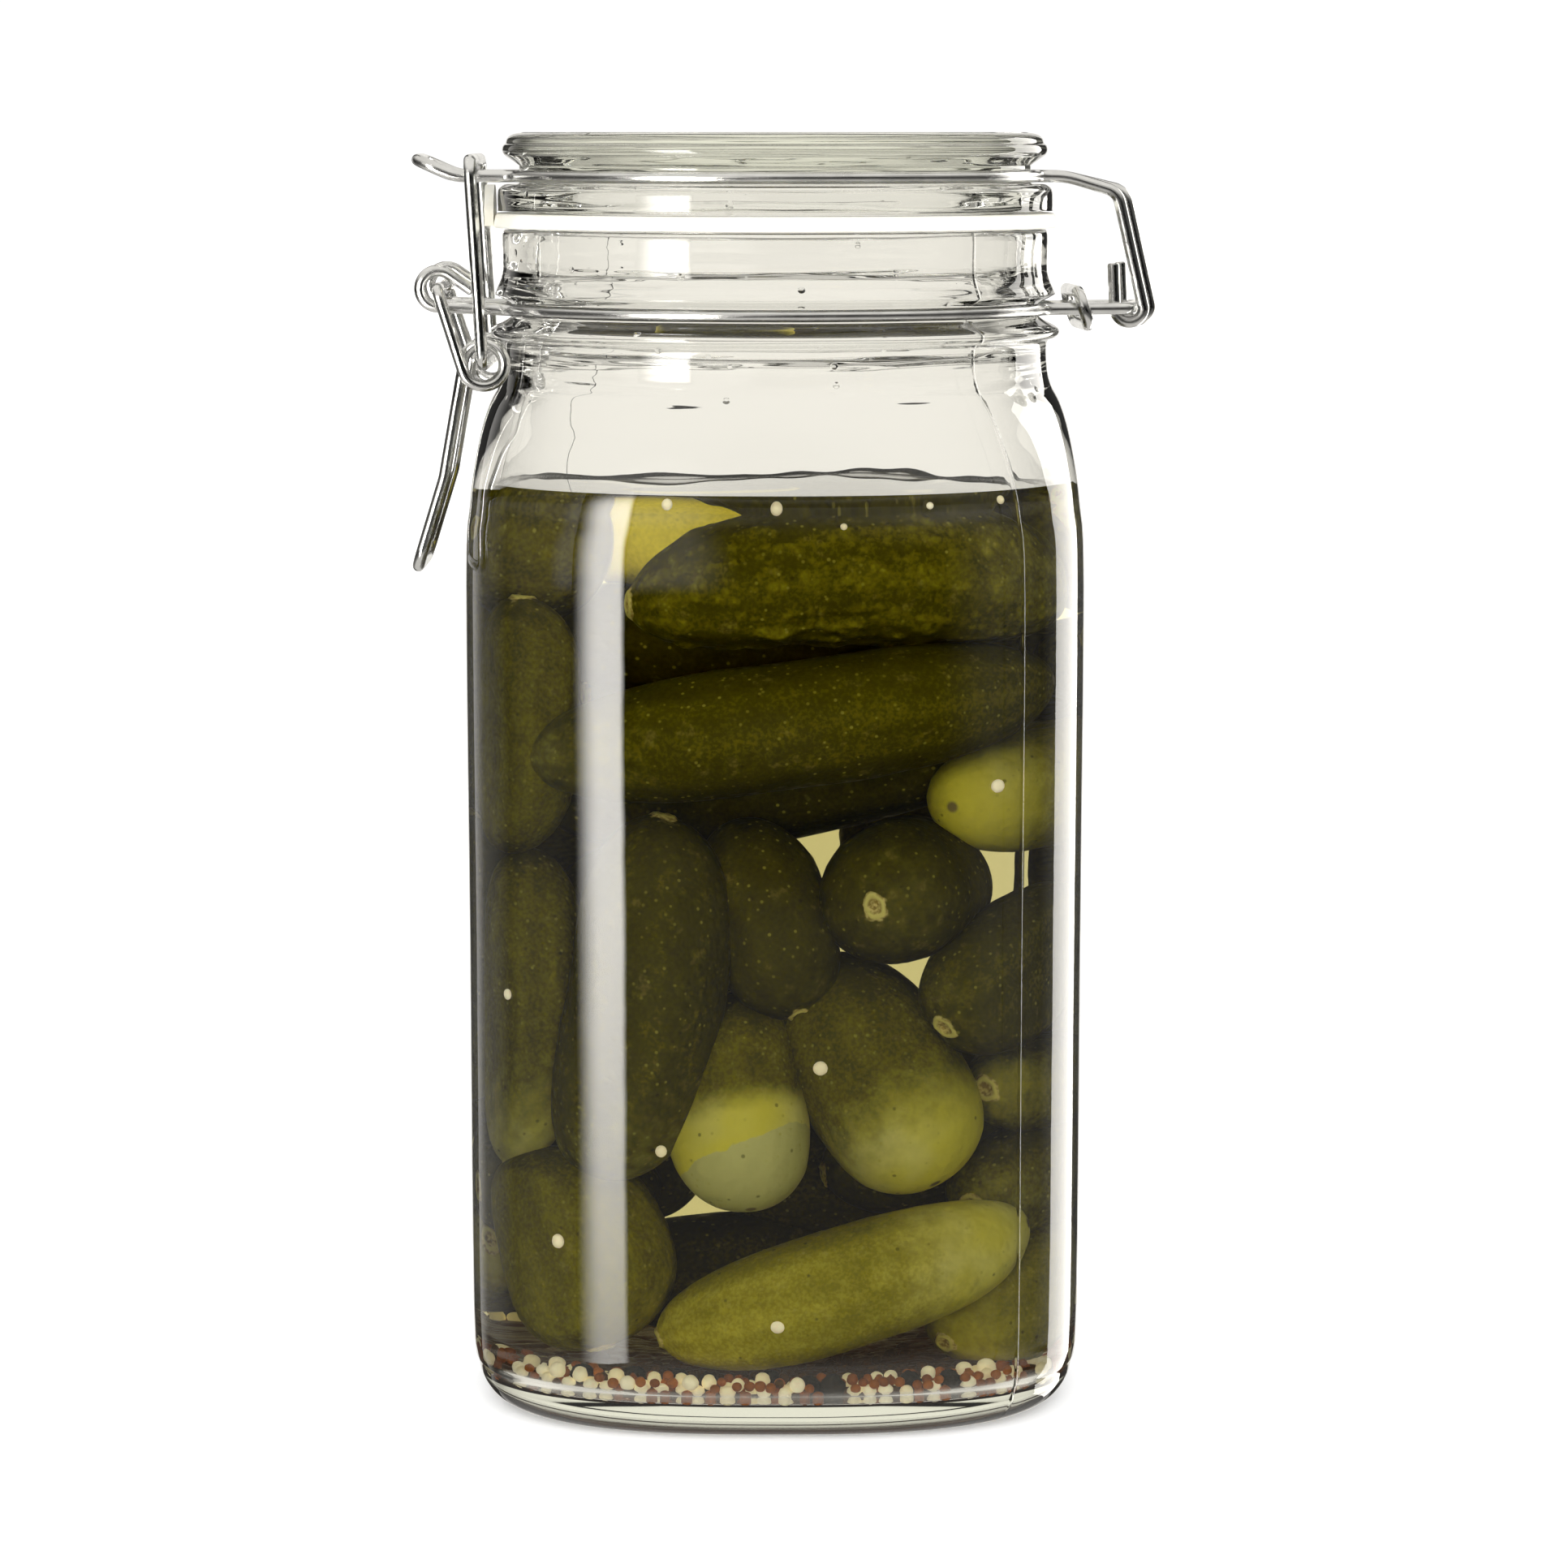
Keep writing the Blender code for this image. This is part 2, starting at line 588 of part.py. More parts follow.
def pull_tab():
    """The tongue that stands up beside the lid, with a half-round top."""
    bend_z = TAB_TOP_Z - TAB_HALF * 0.8
    outline = [(-TAB_HALF, GASKET_BOTTOM_Z + 0.0003)]
    for index in range(9):
        angle = math.pi * (1.0 - index / 8)
        outline.append((TAB_HALF * math.cos(angle), bend_z + TAB_HALF * 0.8 * math.sin(angle)))
    outline.append((TAB_HALF, GASKET_BOTTOM_Z + 0.0003))
    rings = [[Vector((x, y, z)) for y, z in outline] for x in (TAB_OUT_X, TAB_IN_X)]
    return loft("pull_tab", rings)


def build_gasket(finish):
    return place("gasket", fuse("gasket", gasket_ring(), [pull_tab()]), finish)


# Contents.


def step_between(value, start, end):
    """0 at the start, 1 at the end, in proportion between them and level beyond them."""
    return min(max((value - start) / (end - start), 0.0), 1.0)


def inner_half(height):
    """The half-width of the jar's inside at a height within the straight body."""
    low = BASE_HALF - WALL
    high = BODY_HALF - WALL
    share = step_between(height, INNER_LOW_Z, INNER_HIGH_Z)
    floor_inset = FLOOR_INSET * step_between(height, INNER_LOW_Z, FLOOR_INSET_Z)
    shoulder_inset = SHOULDER_INSET * step_between(height, SHOULDER_INSET_LOW_Z, SHOULDER_INSET_HIGH_Z)
    return low + (high - low) * share - floor_inset - shoulder_inset


def press_inside(point):
    """Moves a point that would touch the glass, brine top or seeds to just inside them."""
    height = min(max(point.z, HEAP_FLOOR_Z), HEAP_TOP_Z)
    room = inner_half(height) - GAP
    size = (abs(point.x) ** BODY_POWER + abs(point.y) ** BODY_POWER) ** (1.0 / BODY_POWER)
    share = min(1.0, room / max(size, 1e-6))
    return Vector((point.x * share, point.y * share, height))


def gherkin(name, tip_a, tip_b, radius, bow):
    """A blunt-ended gherkin between two tips, its middle bowed sideways."""
    start, end, lift = Vector(tip_a), Vector(tip_b), Vector(bow)
    axis = (end - start).normalized()
    helper = Vector((0.0, 0.0, 1.0)) if abs(axis.z) < 0.8 else Vector((1.0, 0.0, 0.0))
    first = axis.cross(helper).normalized()
    second = axis.cross(first).normalized()
    shape = bmesh.new()
    rings = []
    for share in GHERKIN_STATIONS:
        swell = math.sqrt(1.0 - abs(2.0 * share - 1.0) ** GHERKIN_BLUNTNESS)
        middle = start.lerp(end, share) + lift * (4.0 * share * (1.0 - share))
        ring = []
        for index in range(GHERKIN_SIDES):
            angle = math.tau * index / GHERKIN_SIDES
            spoke = first * math.cos(angle) + second * math.sin(angle)
            ring.append(shape.verts.new(press_inside(middle + spoke * radius * swell)))
        rings.append(ring)
    poles = [shape.verts.new(press_inside(start)), shape.verts.new(press_inside(end))]
    for index in range(GHERKIN_SIDES):
        after = (index + 1) % GHERKIN_SIDES
        shape.faces.new((poles[0], rings[0][after], rings[0][index]))
        shape.faces.new((poles[1], rings[-1][index], rings[-1][after]))
        for low, high in zip(rings, rings[1:]):
            shape.faces.new((low[index], low[after], high[after], high[index]))
    bmesh.ops.triangulate(shape, faces=shape.faces)
    bmesh.ops.recalc_face_normals(shape, faces=shape.faces)
    mesh = bpy.data.meshes.new(name)
    shape.to_mesh(mesh)
    shape.free()
    return mesh


def build_heap(finish):
    core_rings = [
        squircle_ring(CORE_HALF, BODY_POWER, CORE_BOTTOM_Z, CORE_SIDES),
        squircle_ring(CORE_HALF, BODY_POWER, CORE_TOP_Z, CORE_SIDES),
    ]
    layout = FRONT_GHERKINS + LEFT_GHERKINS + RIGHT_GHERKINS + BACK_GHERKINS + TOP_GHERKINS
    pieces = [gherkin(f"gherkin_{index}", *row) for index, row in enumerate(layout)]
    heap = fuse("gherkin_heap", loft("heap_core", core_rings), pieces)
    return place("gherkin_heap", keep_largest_body(heap), finish, 60.0)


def seed_mesh(name, centre, radius):
    shape = bmesh.new()
    bmesh.ops.create_icosphere(shape, subdivisions=1, radius=radius)
    bmesh.ops.translate(shape, verts=shape.verts, vec=centre)
    mesh = bpy.data.meshes.new(name)
    shape.to_mesh(mesh)
    shape.free()
    return mesh


def build_seed_bed(finish):
    """The thin layer of settled spice on the jar's floor, with its larger seeds standing proud."""
    draw = random.Random(SEED_SEED)
    bed_rings = [
        squircle_ring(SEED_BED_HALF - 0.001, BODY_POWER, SEED_BED_BOTTOM_Z, CORE_SIDES),
        squircle_ring(SEED_BED_HALF, BODY_POWER, SEED_BED_TOP_Z, CORE_SIDES),
    ]
    seeds = []
    edge = squircle_ring(1.0, BODY_POWER, 0.0, SEED_COUNT)
    for index, direction in enumerate(edge):
        is_pepper = index % PEPPER_EVERY == PEPPER_EVERY // 2
        radius = PEPPER_R if is_pepper else draw.uniform(MUSTARD_MIN_R, MUSTARD_MAX_R)
        inset = index % 2 * SEED_ROW_STEP + draw.uniform(0.0, 0.0012)
        reach = SEED_REACH - 1.6 * radius - inset
        centre = Vector((direction.x * reach, direction.y * reach, SEED_BED_TOP_Z + 0.0002))
        seeds.append(seed_mesh(f"seed_{index}", centre, radius))
    bed = fuse("seed_bed", loft("bed", bed_rings), seeds)
    return place("seed_bed", keep_largest_body(bed), finish, 60.0)


def main():
    clear_scene()
    glass = material("clear_glass", (0.90, 0.93, 0.90), 0.02, transmission=1.0)
    rubber = material("pale_rubber", (0.86, 0.84, 0.76), 0.55)
    steel = material("polished_wire", (0.72, 0.72, 0.71), 0.18, metallic=1.0)
    pickle = material("gherkin_skin", (0.17, 0.18, 0.03), 0.40)
    spice = material("mustard_seed", (0.55, 0.38, 0.20), 0.50)
    build_jar(glass)
    build_lid(glass)
    build_gasket(rubber)
    build_bail(steel)
    build_neck_band(steel)
    build_clip_ring(steel)
    build_lever(steel)
    build_link(steel)
    build_heap(pickle)
    build_seed_bed(spice)


main()
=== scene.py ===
"""Looks of the clip top jar of pickled gherkins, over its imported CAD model.

Metres, +Z up, in the CAD model's own frame: the clasp is on the -X side, the hinge on the +X side,
and the camera stands on the -Y side.
"""

import math
import random

import bmesh
import bpy
import numpy as np
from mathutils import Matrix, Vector


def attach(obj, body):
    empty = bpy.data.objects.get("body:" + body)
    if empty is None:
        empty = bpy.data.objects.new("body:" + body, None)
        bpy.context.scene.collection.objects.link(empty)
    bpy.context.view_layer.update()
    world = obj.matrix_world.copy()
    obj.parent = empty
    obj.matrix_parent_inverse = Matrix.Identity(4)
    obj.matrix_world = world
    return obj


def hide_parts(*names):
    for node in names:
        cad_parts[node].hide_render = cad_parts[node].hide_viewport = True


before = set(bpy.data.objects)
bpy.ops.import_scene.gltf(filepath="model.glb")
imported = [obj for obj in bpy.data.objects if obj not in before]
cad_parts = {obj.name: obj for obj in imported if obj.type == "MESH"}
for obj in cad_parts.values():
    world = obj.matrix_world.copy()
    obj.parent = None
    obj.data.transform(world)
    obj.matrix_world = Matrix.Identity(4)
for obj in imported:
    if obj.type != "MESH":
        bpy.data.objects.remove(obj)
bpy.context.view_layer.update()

BODY = "root"

# A millimetre. Lengths are in metres, except in the tables that say otherwise.
MM = 0.001

# Profiles of the jar in millimetres, up its outside from near the middle of its underside and down
# its inside to its floor: (height, half-width, power of the outline in plan, 2 being round).
JAR_OUTSIDE = (
    (1.3, 42.3, 2.65), (0.3, 44.7, 2.68), (0, 47.1, 2.7), (0.6, 49.3, 2.7), (2.4, 51.2, 2.72),
    (6, 52.4, 2.73), (16, 53.3, 2.73), (80, 53.6, 2.73), (142, 53.9, 2.73), (156, 53.1, 2.66),
    (163, 52.2, 2.5), (169, 51, 2.3), (173.3, 49.6, 2.14), (176.2, 48.1, 2.05), (179.4, 47.4, 2),
    (183.6, 47.4, 2), (184.5, 49, 2), (185.4, 49.5, 2), (186.3, 48.9, 2), (187.8, 46.2, 2),
    (188.7, 45.8, 2), (190.2, 45.8, 2), (191.7, 48.5, 2), (192.4, 48.6, 2), (195.8, 47.4, 2),
    (202.3, 47.4, 2), (203.1, 46.5, 2),
)
JAR_INSIDE = (
    (203.1, 43.2, 2), (202.2, 42.4, 2), (195, 42.4, 2), (186, 42.4, 2), (179, 43.6, 2.02),
    (176.5, 44.3, 2.06), (173.8, 45.4, 2.14), (170, 46.5, 2.28), (164, 48.3, 2.48),
    (154, 49.8, 2.7), (134, 50.3, 2.73), (70, 50, 2.73), (20, 49.7, 2.73), (10, 48.6, 2.73),
    (7.2, 46.7, 2.72), (5.6, 42.5, 2.7),
)

# (height, radius) in millimetres from the middle of the lid's top over its rim, groove, flange and
# plug to the middle of its hollow.
LID_PROFILE = (
    (219.8, 1), (219.8, 20), (219.8, 42), (219.8, 43.6), (219.5, 45.4), (218.8, 46.4),
    (217.9, 46.7), (217.6, 47.1), (216.8, 47.3), (216, 47), (215.3, 46.1), (214.2, 44.5),
    (213.8, 44.4), (211, 44.4), (210.9, 46.5), (210.5, 47.5), (209.6, 48.1), (206.7, 48.1),
    (206.3, 47.6), (206.3, 41.8), (203.3, 41.2), (203.3, 37.2), (209.3, 34.2), (209.3, 20),
    (209.3, 1),
)
LID_SIDES = 160

# The jar's straight body: its inside narrows a little towards the floor and the shoulder.
BODY_POWER = 2.73
ROUND_POWER = 2.0
BODY_HALF = 0.0539
BASE_HALF = 0.0533
WALL = 0.0036
INNER_LOW_Z = 0.0200
INNER_HIGH_Z = 0.1340
FLOOR_Z = 0.0056
FLOOR_INSET = 0.0011
FLOOR_INSET_Z = 0.0100
SHOULDER_INSET = 0.0012
SHOULDER_INSET_Z = (0.1460, 0.1580)
UNDERSIDE_Z = 0.0016
UNDERSIDE_HALF = 0.0403
FLOOR_TOP_Z = FLOOR_Z + 0.0004
FLOOR_HALF = 0.0383
JAR_SIDES = 200
SEAM_ANGLES = (math.radians(-45.0), math.radians(135.0))
SEAM_HEIGHT = 0.00014
SEAM_WIDTH = 0.00030
SEAM_FROM_Z = 0.004

# How far pressed glass strays from true, inside and outside, and how fast that turns with height.
GLASS_WAVINESS = 0.00012
OUTER_WAVINESS = 0.00001
WAVY_FROM = 0.01
WAVE_CLIMB = 160.0

# Gasket.
GASKET_TOP_Z = 0.2059
GASKET_BOTTOM_Z = 0.2034
GASKET_TOP_R = 0.0487
GASKET_BOTTOM_R = 0.0491
GASKET_BORE_R = 0.0428
GASKET_EDGE = 0.0004
TAB_HALF = 0.0060
TAB_IN_X = -0.0487
TAB_OUT_X = -0.0503
TAB_TOP_Z = 0.2108
TAB_BOTTOM_Z = GASKET_BOTTOM_Z + 0.0003
TAB_ROUNDNESS = 0.8
TAB_STEPS = 25

# Wires.
WIRE_R = 0.00105
RING_LEAD = math.radians(4.5)
WIRE_SIDES = 20
ARC_STEP = math.radians(7.0)
RING_STEP = math.radians(2.0)
WIRE_CHAMFER = 0.00025

BAIL_Z = 0.2123
BAIL_RING_R = 0.04585
BAIL_LOOP_HALF = 0.0100
BAIL_ARM_HALF = 0.0060
BAIL_TIP = (-0.0617, 0.2151)
BAIL_LIFT_X = -0.0553
BAIL_ARM_TOP = (0.0505, 0.2122)
BAIL_ARM_BEND = (0.0602, 0.2096)
BAIL_ARM_BEND_R = 0.0032
BAIL_ARM_TOP_BEND_R = 0.0120
BAIL_RING_BEND_R = 0.0026
BAIL_LOOP_BEND_R = 0.0030
BAIL_LIFT_BEND_R = 0.0090
BAIL_TIP_BEND_R = 0.0035

HINGE = (0.0623, 0.1896)
HINGE_SKEW = 0.16
HOOK_R = 0.00245
HOOK_STUB = (0.0595, 0.1973)

BAND_Z = 0.18945
BAND_RING_R = 0.0473
BAND_EYE = (-0.0579, 0.1931)
BAND_EYE_R = 0.0031
BAND_EYE_HALF = 0.0136
BAND_TAIL = (-0.0519, 0.1927)
BAND_TAIL_ANGLE = math.radians(55.0)
BAND_U_HALF = 0.0090
BAND_RING_BEND_R = 0.0034
BAND_U_BEND_R = 0.0022

CLIP_X = 0.0526
CLIP_HALF = 0.01145
CLIP_RISE = 0.0029
CLIP_TURN = 0.06
CLIP_LEAN = 0.30
CLIP_ROUNDNESS = 0.95

LEVER_PIVOT = (-0.0580, 0.1931)
LEVER_ARM_HALF = 0.0164
LEVER_LEG_HALF = 0.0140
LEVER_STUB_HALF = 0.0112
COIL = (-0.0501, 0.1801)
COIL_R = 0.0036
COIL_START = math.radians(198.0)
COIL_END = math.radians(548.0)
LEVER_BEND = (-0.0570, 0.1606)
LEVER_TIP = (-0.06175, 0.14515)
LEVER_PIVOT_BEND_R = 0.0017
LEVER_LEG_BEND_R = 0.0100
LEVER_TIP_BEND_R = 0.0036

LINK_HALF = 0.0189
LINK_TOP = (-0.0522, 0.2151)
LINK_CORNER_R = 0.0026

# Contents.
GAP = 0.0005
BRINE_Z = 0.1588
BRINE_BITE = 0.0003
MENISCUS_RISE = 0.0007
MENISCUS_UNEVENNESS = 0.5

# (share of the rise, how far in from the glass in front, and at the back) down the drawn up edge.
MENISCUS_CURVE = (
    (1.00, -0.0001, -0.0001),
    (0.95, 0.0002, 0.0002),
    (0.64, 0.0004, 0.00026),
    (0.41, 0.0008, 0.00030),
    (0.24, 0.0013, 0.00034),
    (0.11, 0.0020, 0.00040),
    (0.04, 0.0030, 0.00080),
    (0.01, 0.0045, 0.00200),
)

HEAP_TOP_Z = 0.1578
HEAP_FLOOR_Z = 0.0092
GHERKIN_SEED = 1000
GHERKIN_BLUNTNESS = 3.0
PALE_REACH = 0.55
PALE_FALL = 1.3
WART_HEIGHT = 0.00045
DENTS = 14
DENT_REACH = 0.25
DENT_HEIGHT = 0.00040
SCAR_R = 0.0015
SCAR_RIM_R = 0.0016
SCAR_RIM_WIDTH = 0.0005
SCAR_RIM_DEPTH = 0.0006
SCAR_LIFT = 0.0003
BLOSSOM_R = 0.0010
PATTERN_SHIFT = 0.13
FINELY_FROM = 0.7

# Each gherkin, in millimetres: one tip, the other tip, its thickest radius, and how far its middle
# bows. Then how light its skin is, how pale its two ends are, and how warty it is, mostly 0 to 1.
FRONT_GHERKINS = (
    ((-23.5, -34, 140.5), (46, -22, 142), 11.4, (0, -3, 4), 0.38, 0.1, 0.3, 1.0),
    ((-40, -32, 114), (44, -26, 127), 10.7, (0, -8, 0), 0.35, 0.3, 0.1, 0.2),
    ((-38, -22, 141), (-41, -23, 97), 9.2, (0, -3, 0), 0.4, 0.2, 0.1, 0.3),
    ((-45, -12, 151), (-25.5, -10, 144), 11.5, (0, 0, 1), 0.38, 0.2, 0.1, 0.4),
    ((-37, -4, 135), (30, -10, 130), 9.8, (0, 0, -1), 0.15, 0.1, 0.1, 0.3),
    ((-34, -12, 104), (34, -16, 116), 9.8, (0, 0, -1), 0.15, 0.1, 0.1, 0.3),
    ((44, 4, 110), (28, -30, 106), 10.5, (2, 0, 0), 0.6, 0.3, 1.0, 0.2),
    ((16.5, -45, 90.5), (23.5, -12, 92.5), 12.2, (0, 0, 0), 0.21, 0.2, 0.1, 0.2),
    ((27.5, -38, 69), (47, -12, 86), 11.6, (1, -1, 0), 0.3, 0.2, 0.1, 0.2),
    ((4, -36, 71), (-6.5, -22, 103), 10.3, (0, -2, 0), 0.24, 0.2, 0.1, 0.2),
    ((-18, -34, 105), (-28, -33, 42), 12.8, (2, -3, 0), 0.29, 0.1, 0.4, 0.6),
    ((-41, -25, 43), (-37, -21, 98), 8.8, (0, -3, 0), 0.36, 0.8, 0.0, 0.3),
    ((-8, -24, 73), (-4, -39, 38), 12, (0, -1, 0), 0.36, 0.0, 4.4, 0.1),
    ((6, -22, 79), (26, -37, 42), 13, (0, -1, 0), 0.4, 0.0, 1.25, 0.1),
    ((33, -28, 57), (44, 6, 55), 8.8, (2, 0, 0), 0.45, 0.4, 0.1, 0.2),
    ((31, -28, 37), (44, 2, 43), 9.8, (2, 0, 0), 0.38, 0.3, 0.1, 0.2),
    ((-19, -35, 15), (41, -32, 34), 10.2, (0, -5, 0), 0.66, 0.0, 1.25, 0.3),
    ((27, -28, 13), (46, -10, 27), 11, (1, -1, 0), 0.56, 0.5, 0.1, 0.2),
    ((-28, -34, 13), (-38, -24, 46), 13.8, (2, -1, 0), 0.48, 0.3, 0.1, 0.3),
    ((-46, -14, 37), (-18, -6, 38), 8.5, (0, 0, 0), 0.25, 0.1, 0.1, 0.8),
    ((-42, -14, 28), (-36, 10, 17), 8, (-1, 0, 0), 0.5, 0.6, 0.1, 0.1),
)
SIDE_GHERKINS = (
    ((-41, -3, 150), (-40, 4, 101), 10.8, (-1, 0, 0), 0.35, 0.2, 0.3, 0.4),
    ((-36, 29, 146), (-38, 25, 104), 10.5, (-1, 1, 0), 0.4, 0.3, 0.1, 0.3),
    ((-42, -4, 102), (-42, 0, 50), 10, (-1, 0, 0), 0.3, 0.1, 0.6, 0.2),
    ((-39, 17, 100), (-38, 21, 50), 11.5, (-2, 0, 0), 0.45, 0.1, 0.4, 0.5),
    ((-42, 2, 50), (-34, 32, 40), 10, (-3, 3, 0), 0.35, 0.3, 0.2, 0.3),
    ((-32, 32, 30), (-41, 4, 19), 9, (-2, 2, 0), 0.5, 0.2, 0.7, 0.2),
    ((41, -8, 152), (35, 34, 140), 10.5, (3, 1, 0), 0.4, 0.3, 0.2, 0.5),
    ((42, 0, 132), (36, 32, 114), 10.5, (2, 1, 0), 0.35, 0.2, 0.4, 0.3),
    ((41, 13, 108), (41, 19, 64), 11.2, (1, 0, 0), 0.45, 0.1, 0.6, 0.4),
    ((36, 31, 100), (37, 30, 54), 10, (1, 1, 0), 0.3, 0.2, 0.3, 0.2),
    ((42, -4, 80), (42, -1, 48), 9.5, (1, 0, 0), 0.4, 0.1, 0.5, 0.3),
    ((37, 26, 56), (40, 10, 17), 11.2, (1, 1, 0), 0.5, 0.1, 0.5, 0.3),
)
BACK_GHERKINS = (
    ((-28, 34, 149), (30, 36, 143), 11.2, (0, 5, 0), 0.4, 0.3, 0.2, 0.6),
    ((-32, 33, 116), (34, 34, 125), 10.8, (0, 7, 0), 0.35, 0.2, 0.3, 0.3),
    ((-29, 35, 105), (-26, 36, 54), 11, (0, 1, 0), 0.45, 0.1, 0.6, 0.4),
    ((-11, 38, 106), (-2, 38, 62), 10.5, (0, 1, 0), 0.3, 0.2, 0.4, 0.2),
    ((17, 38, 113), (16, 39, 79), 6.8, (0, 1, 0), 0.5, 0.1, 0.7, 0.3),
    ((-6, 36, 68), (8, 38, 34), 12, (0, 1, 0), 0.35, 0.2, 0.5, 0.3),
    ((15, 38, 62), (33, 34, 38), 10.5, (0, 1, 0), 0.4, 0.1, 0.4, 0.2),
    ((-33, 31, 52), (-24, 36, 18), 9.8, (-1, 1, 0), 0.45, 0.2, 0.5, 0.3),
    ((-6, 37, 22), (35, 31, 20), 10, (0, 4, 0), 0.55, 0.2, 0.4, 0.2),
)
INNER_GHERKINS = (
    # Its tone of 0.9 gives this gherkin a painted glow and painted shade in the skin material.
    ((-27, -3, 148), (4, 2, 148.5), 10.2, (0, 0, 1), 0.9, 0.0, 0.0, 0.0),
    ((-4, 8, 146), (34, 14, 147), 10, (0, 0, 1), 0.35, 0.2, 0.3, 0.3),
    ((-26, 12, 122), (24, 14, 126), 11.5, (0, 0, 0), 0.3, 0.2, 0.2, 0.2),
    ((-22, 10, 96), (-19, 4, 30.5), 11.2, (0, 0, 0), 0.3, 0.2, 0.2, 0.2),
    ((-9.5, 12, 38), (34, 12, 34), 11.8, (0, 0, 0), 0.3, 0.2, 0.2, 0.2),
    ((-28, 6, 20.5), (20, 12, 20.5), 10.6, (0, 0, 0), 0.3, 0.2, 0.2, 0.2),
    ((4, 8, 70), (20, 12, 46), 10, (0, 0, 0), 0.3, 0.2, 0.2, 0.2),
    ((8, -10, 40), (38, -6, 47), 9.5, (0, 0, 0), 0.2, 0.2, 0.2, 0.2),
)

# Settled seeds: (kind, how many are tried, least radius, largest radius, fineness, wrinkles).
SEED_KINDS = (
    ("pepper", 11, 0.0019, 0.0021, 4, 0.10),
    ("cream", 125, 0.00115, 0.0014, 3, 0.02),
    ("brown", 420, 0.0008, 0.00095, 3, 0.02),
)
SEEDS_HALF = 0.0462
SEEDS_IN_FRONT = 0.78
FRONT_ANGLES = (-2.45, -0.70)
SEEDS_AT_WALL = 0.6
WALL_FROM = 0.72
DEEP_FROM = 0.05
SEED_PILE = 0.0030
SEED_GAP = 0.0002
SEED_OVERLAP = 0.97
BED_GRID = 141
BED_HALF = 0.0418
BED_SEEDS = 2200
BED_SEED_R = 0.0009
BED_OVER = 0.0003
BED_UNDER = 0.0001
# Share of painted shade over the whole bed of seeds.
BED_DEPTH = 0.9

# Cream seeds that cling to the front wall or float against it: (place, share of the radius).
LOOSE_SEED_R = 0.0012
LOOSE_SEEDS = (
    ((-0.0177, -0.0480, 0.1580), 0.8),
    ((0.0003, -0.0482, 0.1572), 0.9),
    ((0.0256, -0.0472, 0.1578), 0.5),
    ((0.0376, -0.0420, 0.1585), 0.6),
    ((0.0114, -0.0480, 0.1543), 0.5),
    ((0.0368, -0.0420, 0.1104), 1.0),
    ((0.0076, -0.0478, 0.0633), 1.0),
    ((-0.0360, -0.0415, 0.0325), 1.0),
    ((0.0005, -0.0475, 0.0191), 1.0),
    ((-0.0440, -0.0330, 0.0736), 0.8),
    ((-0.0189, -0.0470, 0.0490), 0.8),
)

# (place, linear colour) of the skin from dark to light.
SKIN_COLOURS = (
    (0.00, (0.030, 0.025, 0.0005)),
    (0.30, (0.080, 0.066, 0.0012)),
    (0.60, (0.270, 0.225, 0.006)),
    (1.00, (0.820, 0.700, 0.070)),
)
GLASS_TINT = (0.74, 0.78, 0.60)
GLASS_DENSITY = 6.0
BRINE_TINT = (0.75, 0.68, 0.10)
BRINE_DENSITY = 15.0

# Camera and studio.
CAMERA_PLACE = (0.00155, -1.020, 0.2203)
CAMERA_PITCH = math.radians(83.6)
CAMERA_LENS = 133.98
CAMERA_SENSOR = 36.0
FLOOR_REACH = 12.0
FLOOR_LIGHT = 1.42
BACKDROP_LIGHT = 1.05
CARDS_LOW = -0.25
KEY_AZIMUTH = -130.0
LIGHT_AIM = (0.0, 0.0, 0.1)
WHITE = (1.0, 1.0, 1.0)
BACKDROP = (1.0, 0.965, 0.87)
MIRRORED_TINT = (1.0, 0.975, 0.92)


# Meshes.


def piece_from(name, points, faces, finish, slot, node="", smooth=True):
    """A mesh piece riding on the body, in place of a CAD node if one is given."""
    mesh = bpy.data.meshes.new(name)
    mesh.from_pydata([tuple(point) for point in points], [], [tuple(face) for face in faces])
    mesh.update()
    if smooth:
        mesh.shade_smooth()
    mesh.materials.append(finish)
    item = bpy.data.objects.new(name, mesh)
    bpy.context.scene.collection.objects.link(item)
    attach(item, BODY)
    if node:
        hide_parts(node)
    return item


def attribute(item, name, values):
    """Writes one number for each vertex, for the material to read."""
    made = item.data.attributes.new(name, "FLOAT", "POINT")
    made.data.foreach_set("value", np.asarray(values, dtype=np.float32))


def grid_faces(rows, columns, looped=False):
    """Quads between rows of points that close round each row, and from last to first if looped."""
    faces = []
    for row in range(rows if looped else rows - 1):
        low, high = row * columns, (row + 1) % rows * columns
        for column in range(columns):
            after = (column + 1) % columns
            faces.append((low + column, low + after, high + after, high + column))
    return faces


def tube(rings):
    """Points and faces over rings of points, closed by a flat face at each end."""
    count, total = len(rings[0]), len(rings) * len(rings[0])
    ends = [range(count)[::-1], range(total - count, total)]
    return np.vstack(rings), grid_faces(len(rings), count) + ends


def smooth_profile(corners, steps):
    """Points of a Catmull-Rom curve through rows of numbers, with steps points to each span."""
    rows = np.array(corners, dtype=float)
    padded = np.vstack((2 * rows[0] - rows[1], rows, 2 * rows[-1] - rows[-2]))
    found = []
    for index in range(1, len(padded) - 2):
        before, start, end, after = padded[index - 1 : index + 3]
        for t in np.arange(steps) / steps:
            bend = (2.0 * before - 5.0 * start + 4.0 * end - after) * t * t
            twist = (3.0 * start - before - 3.0 * end + after) * t * t * t
            found.append(0.5 * (2.0 * start + (end - before) * t + bend + twist))
    found.append(padded[-2])
    return np.array(found)


def ring(half, power, angles, height, scale=1.0):
    """Points of |x|^power + |y|^power = half^power towards each angle, at a height."""
    across, along = np.cos(angles), np.sin(angles)
    reach = scale * half / (np.abs(across) ** power + np.abs(along) ** power) ** (1.0 / power)
    return np.column_stack((reach * across, reach * along, np.broadcast_to(height, len(angles))))


def round_angles(sides):
    return np.linspace(-math.pi, math.pi, sides, endpoint=False)


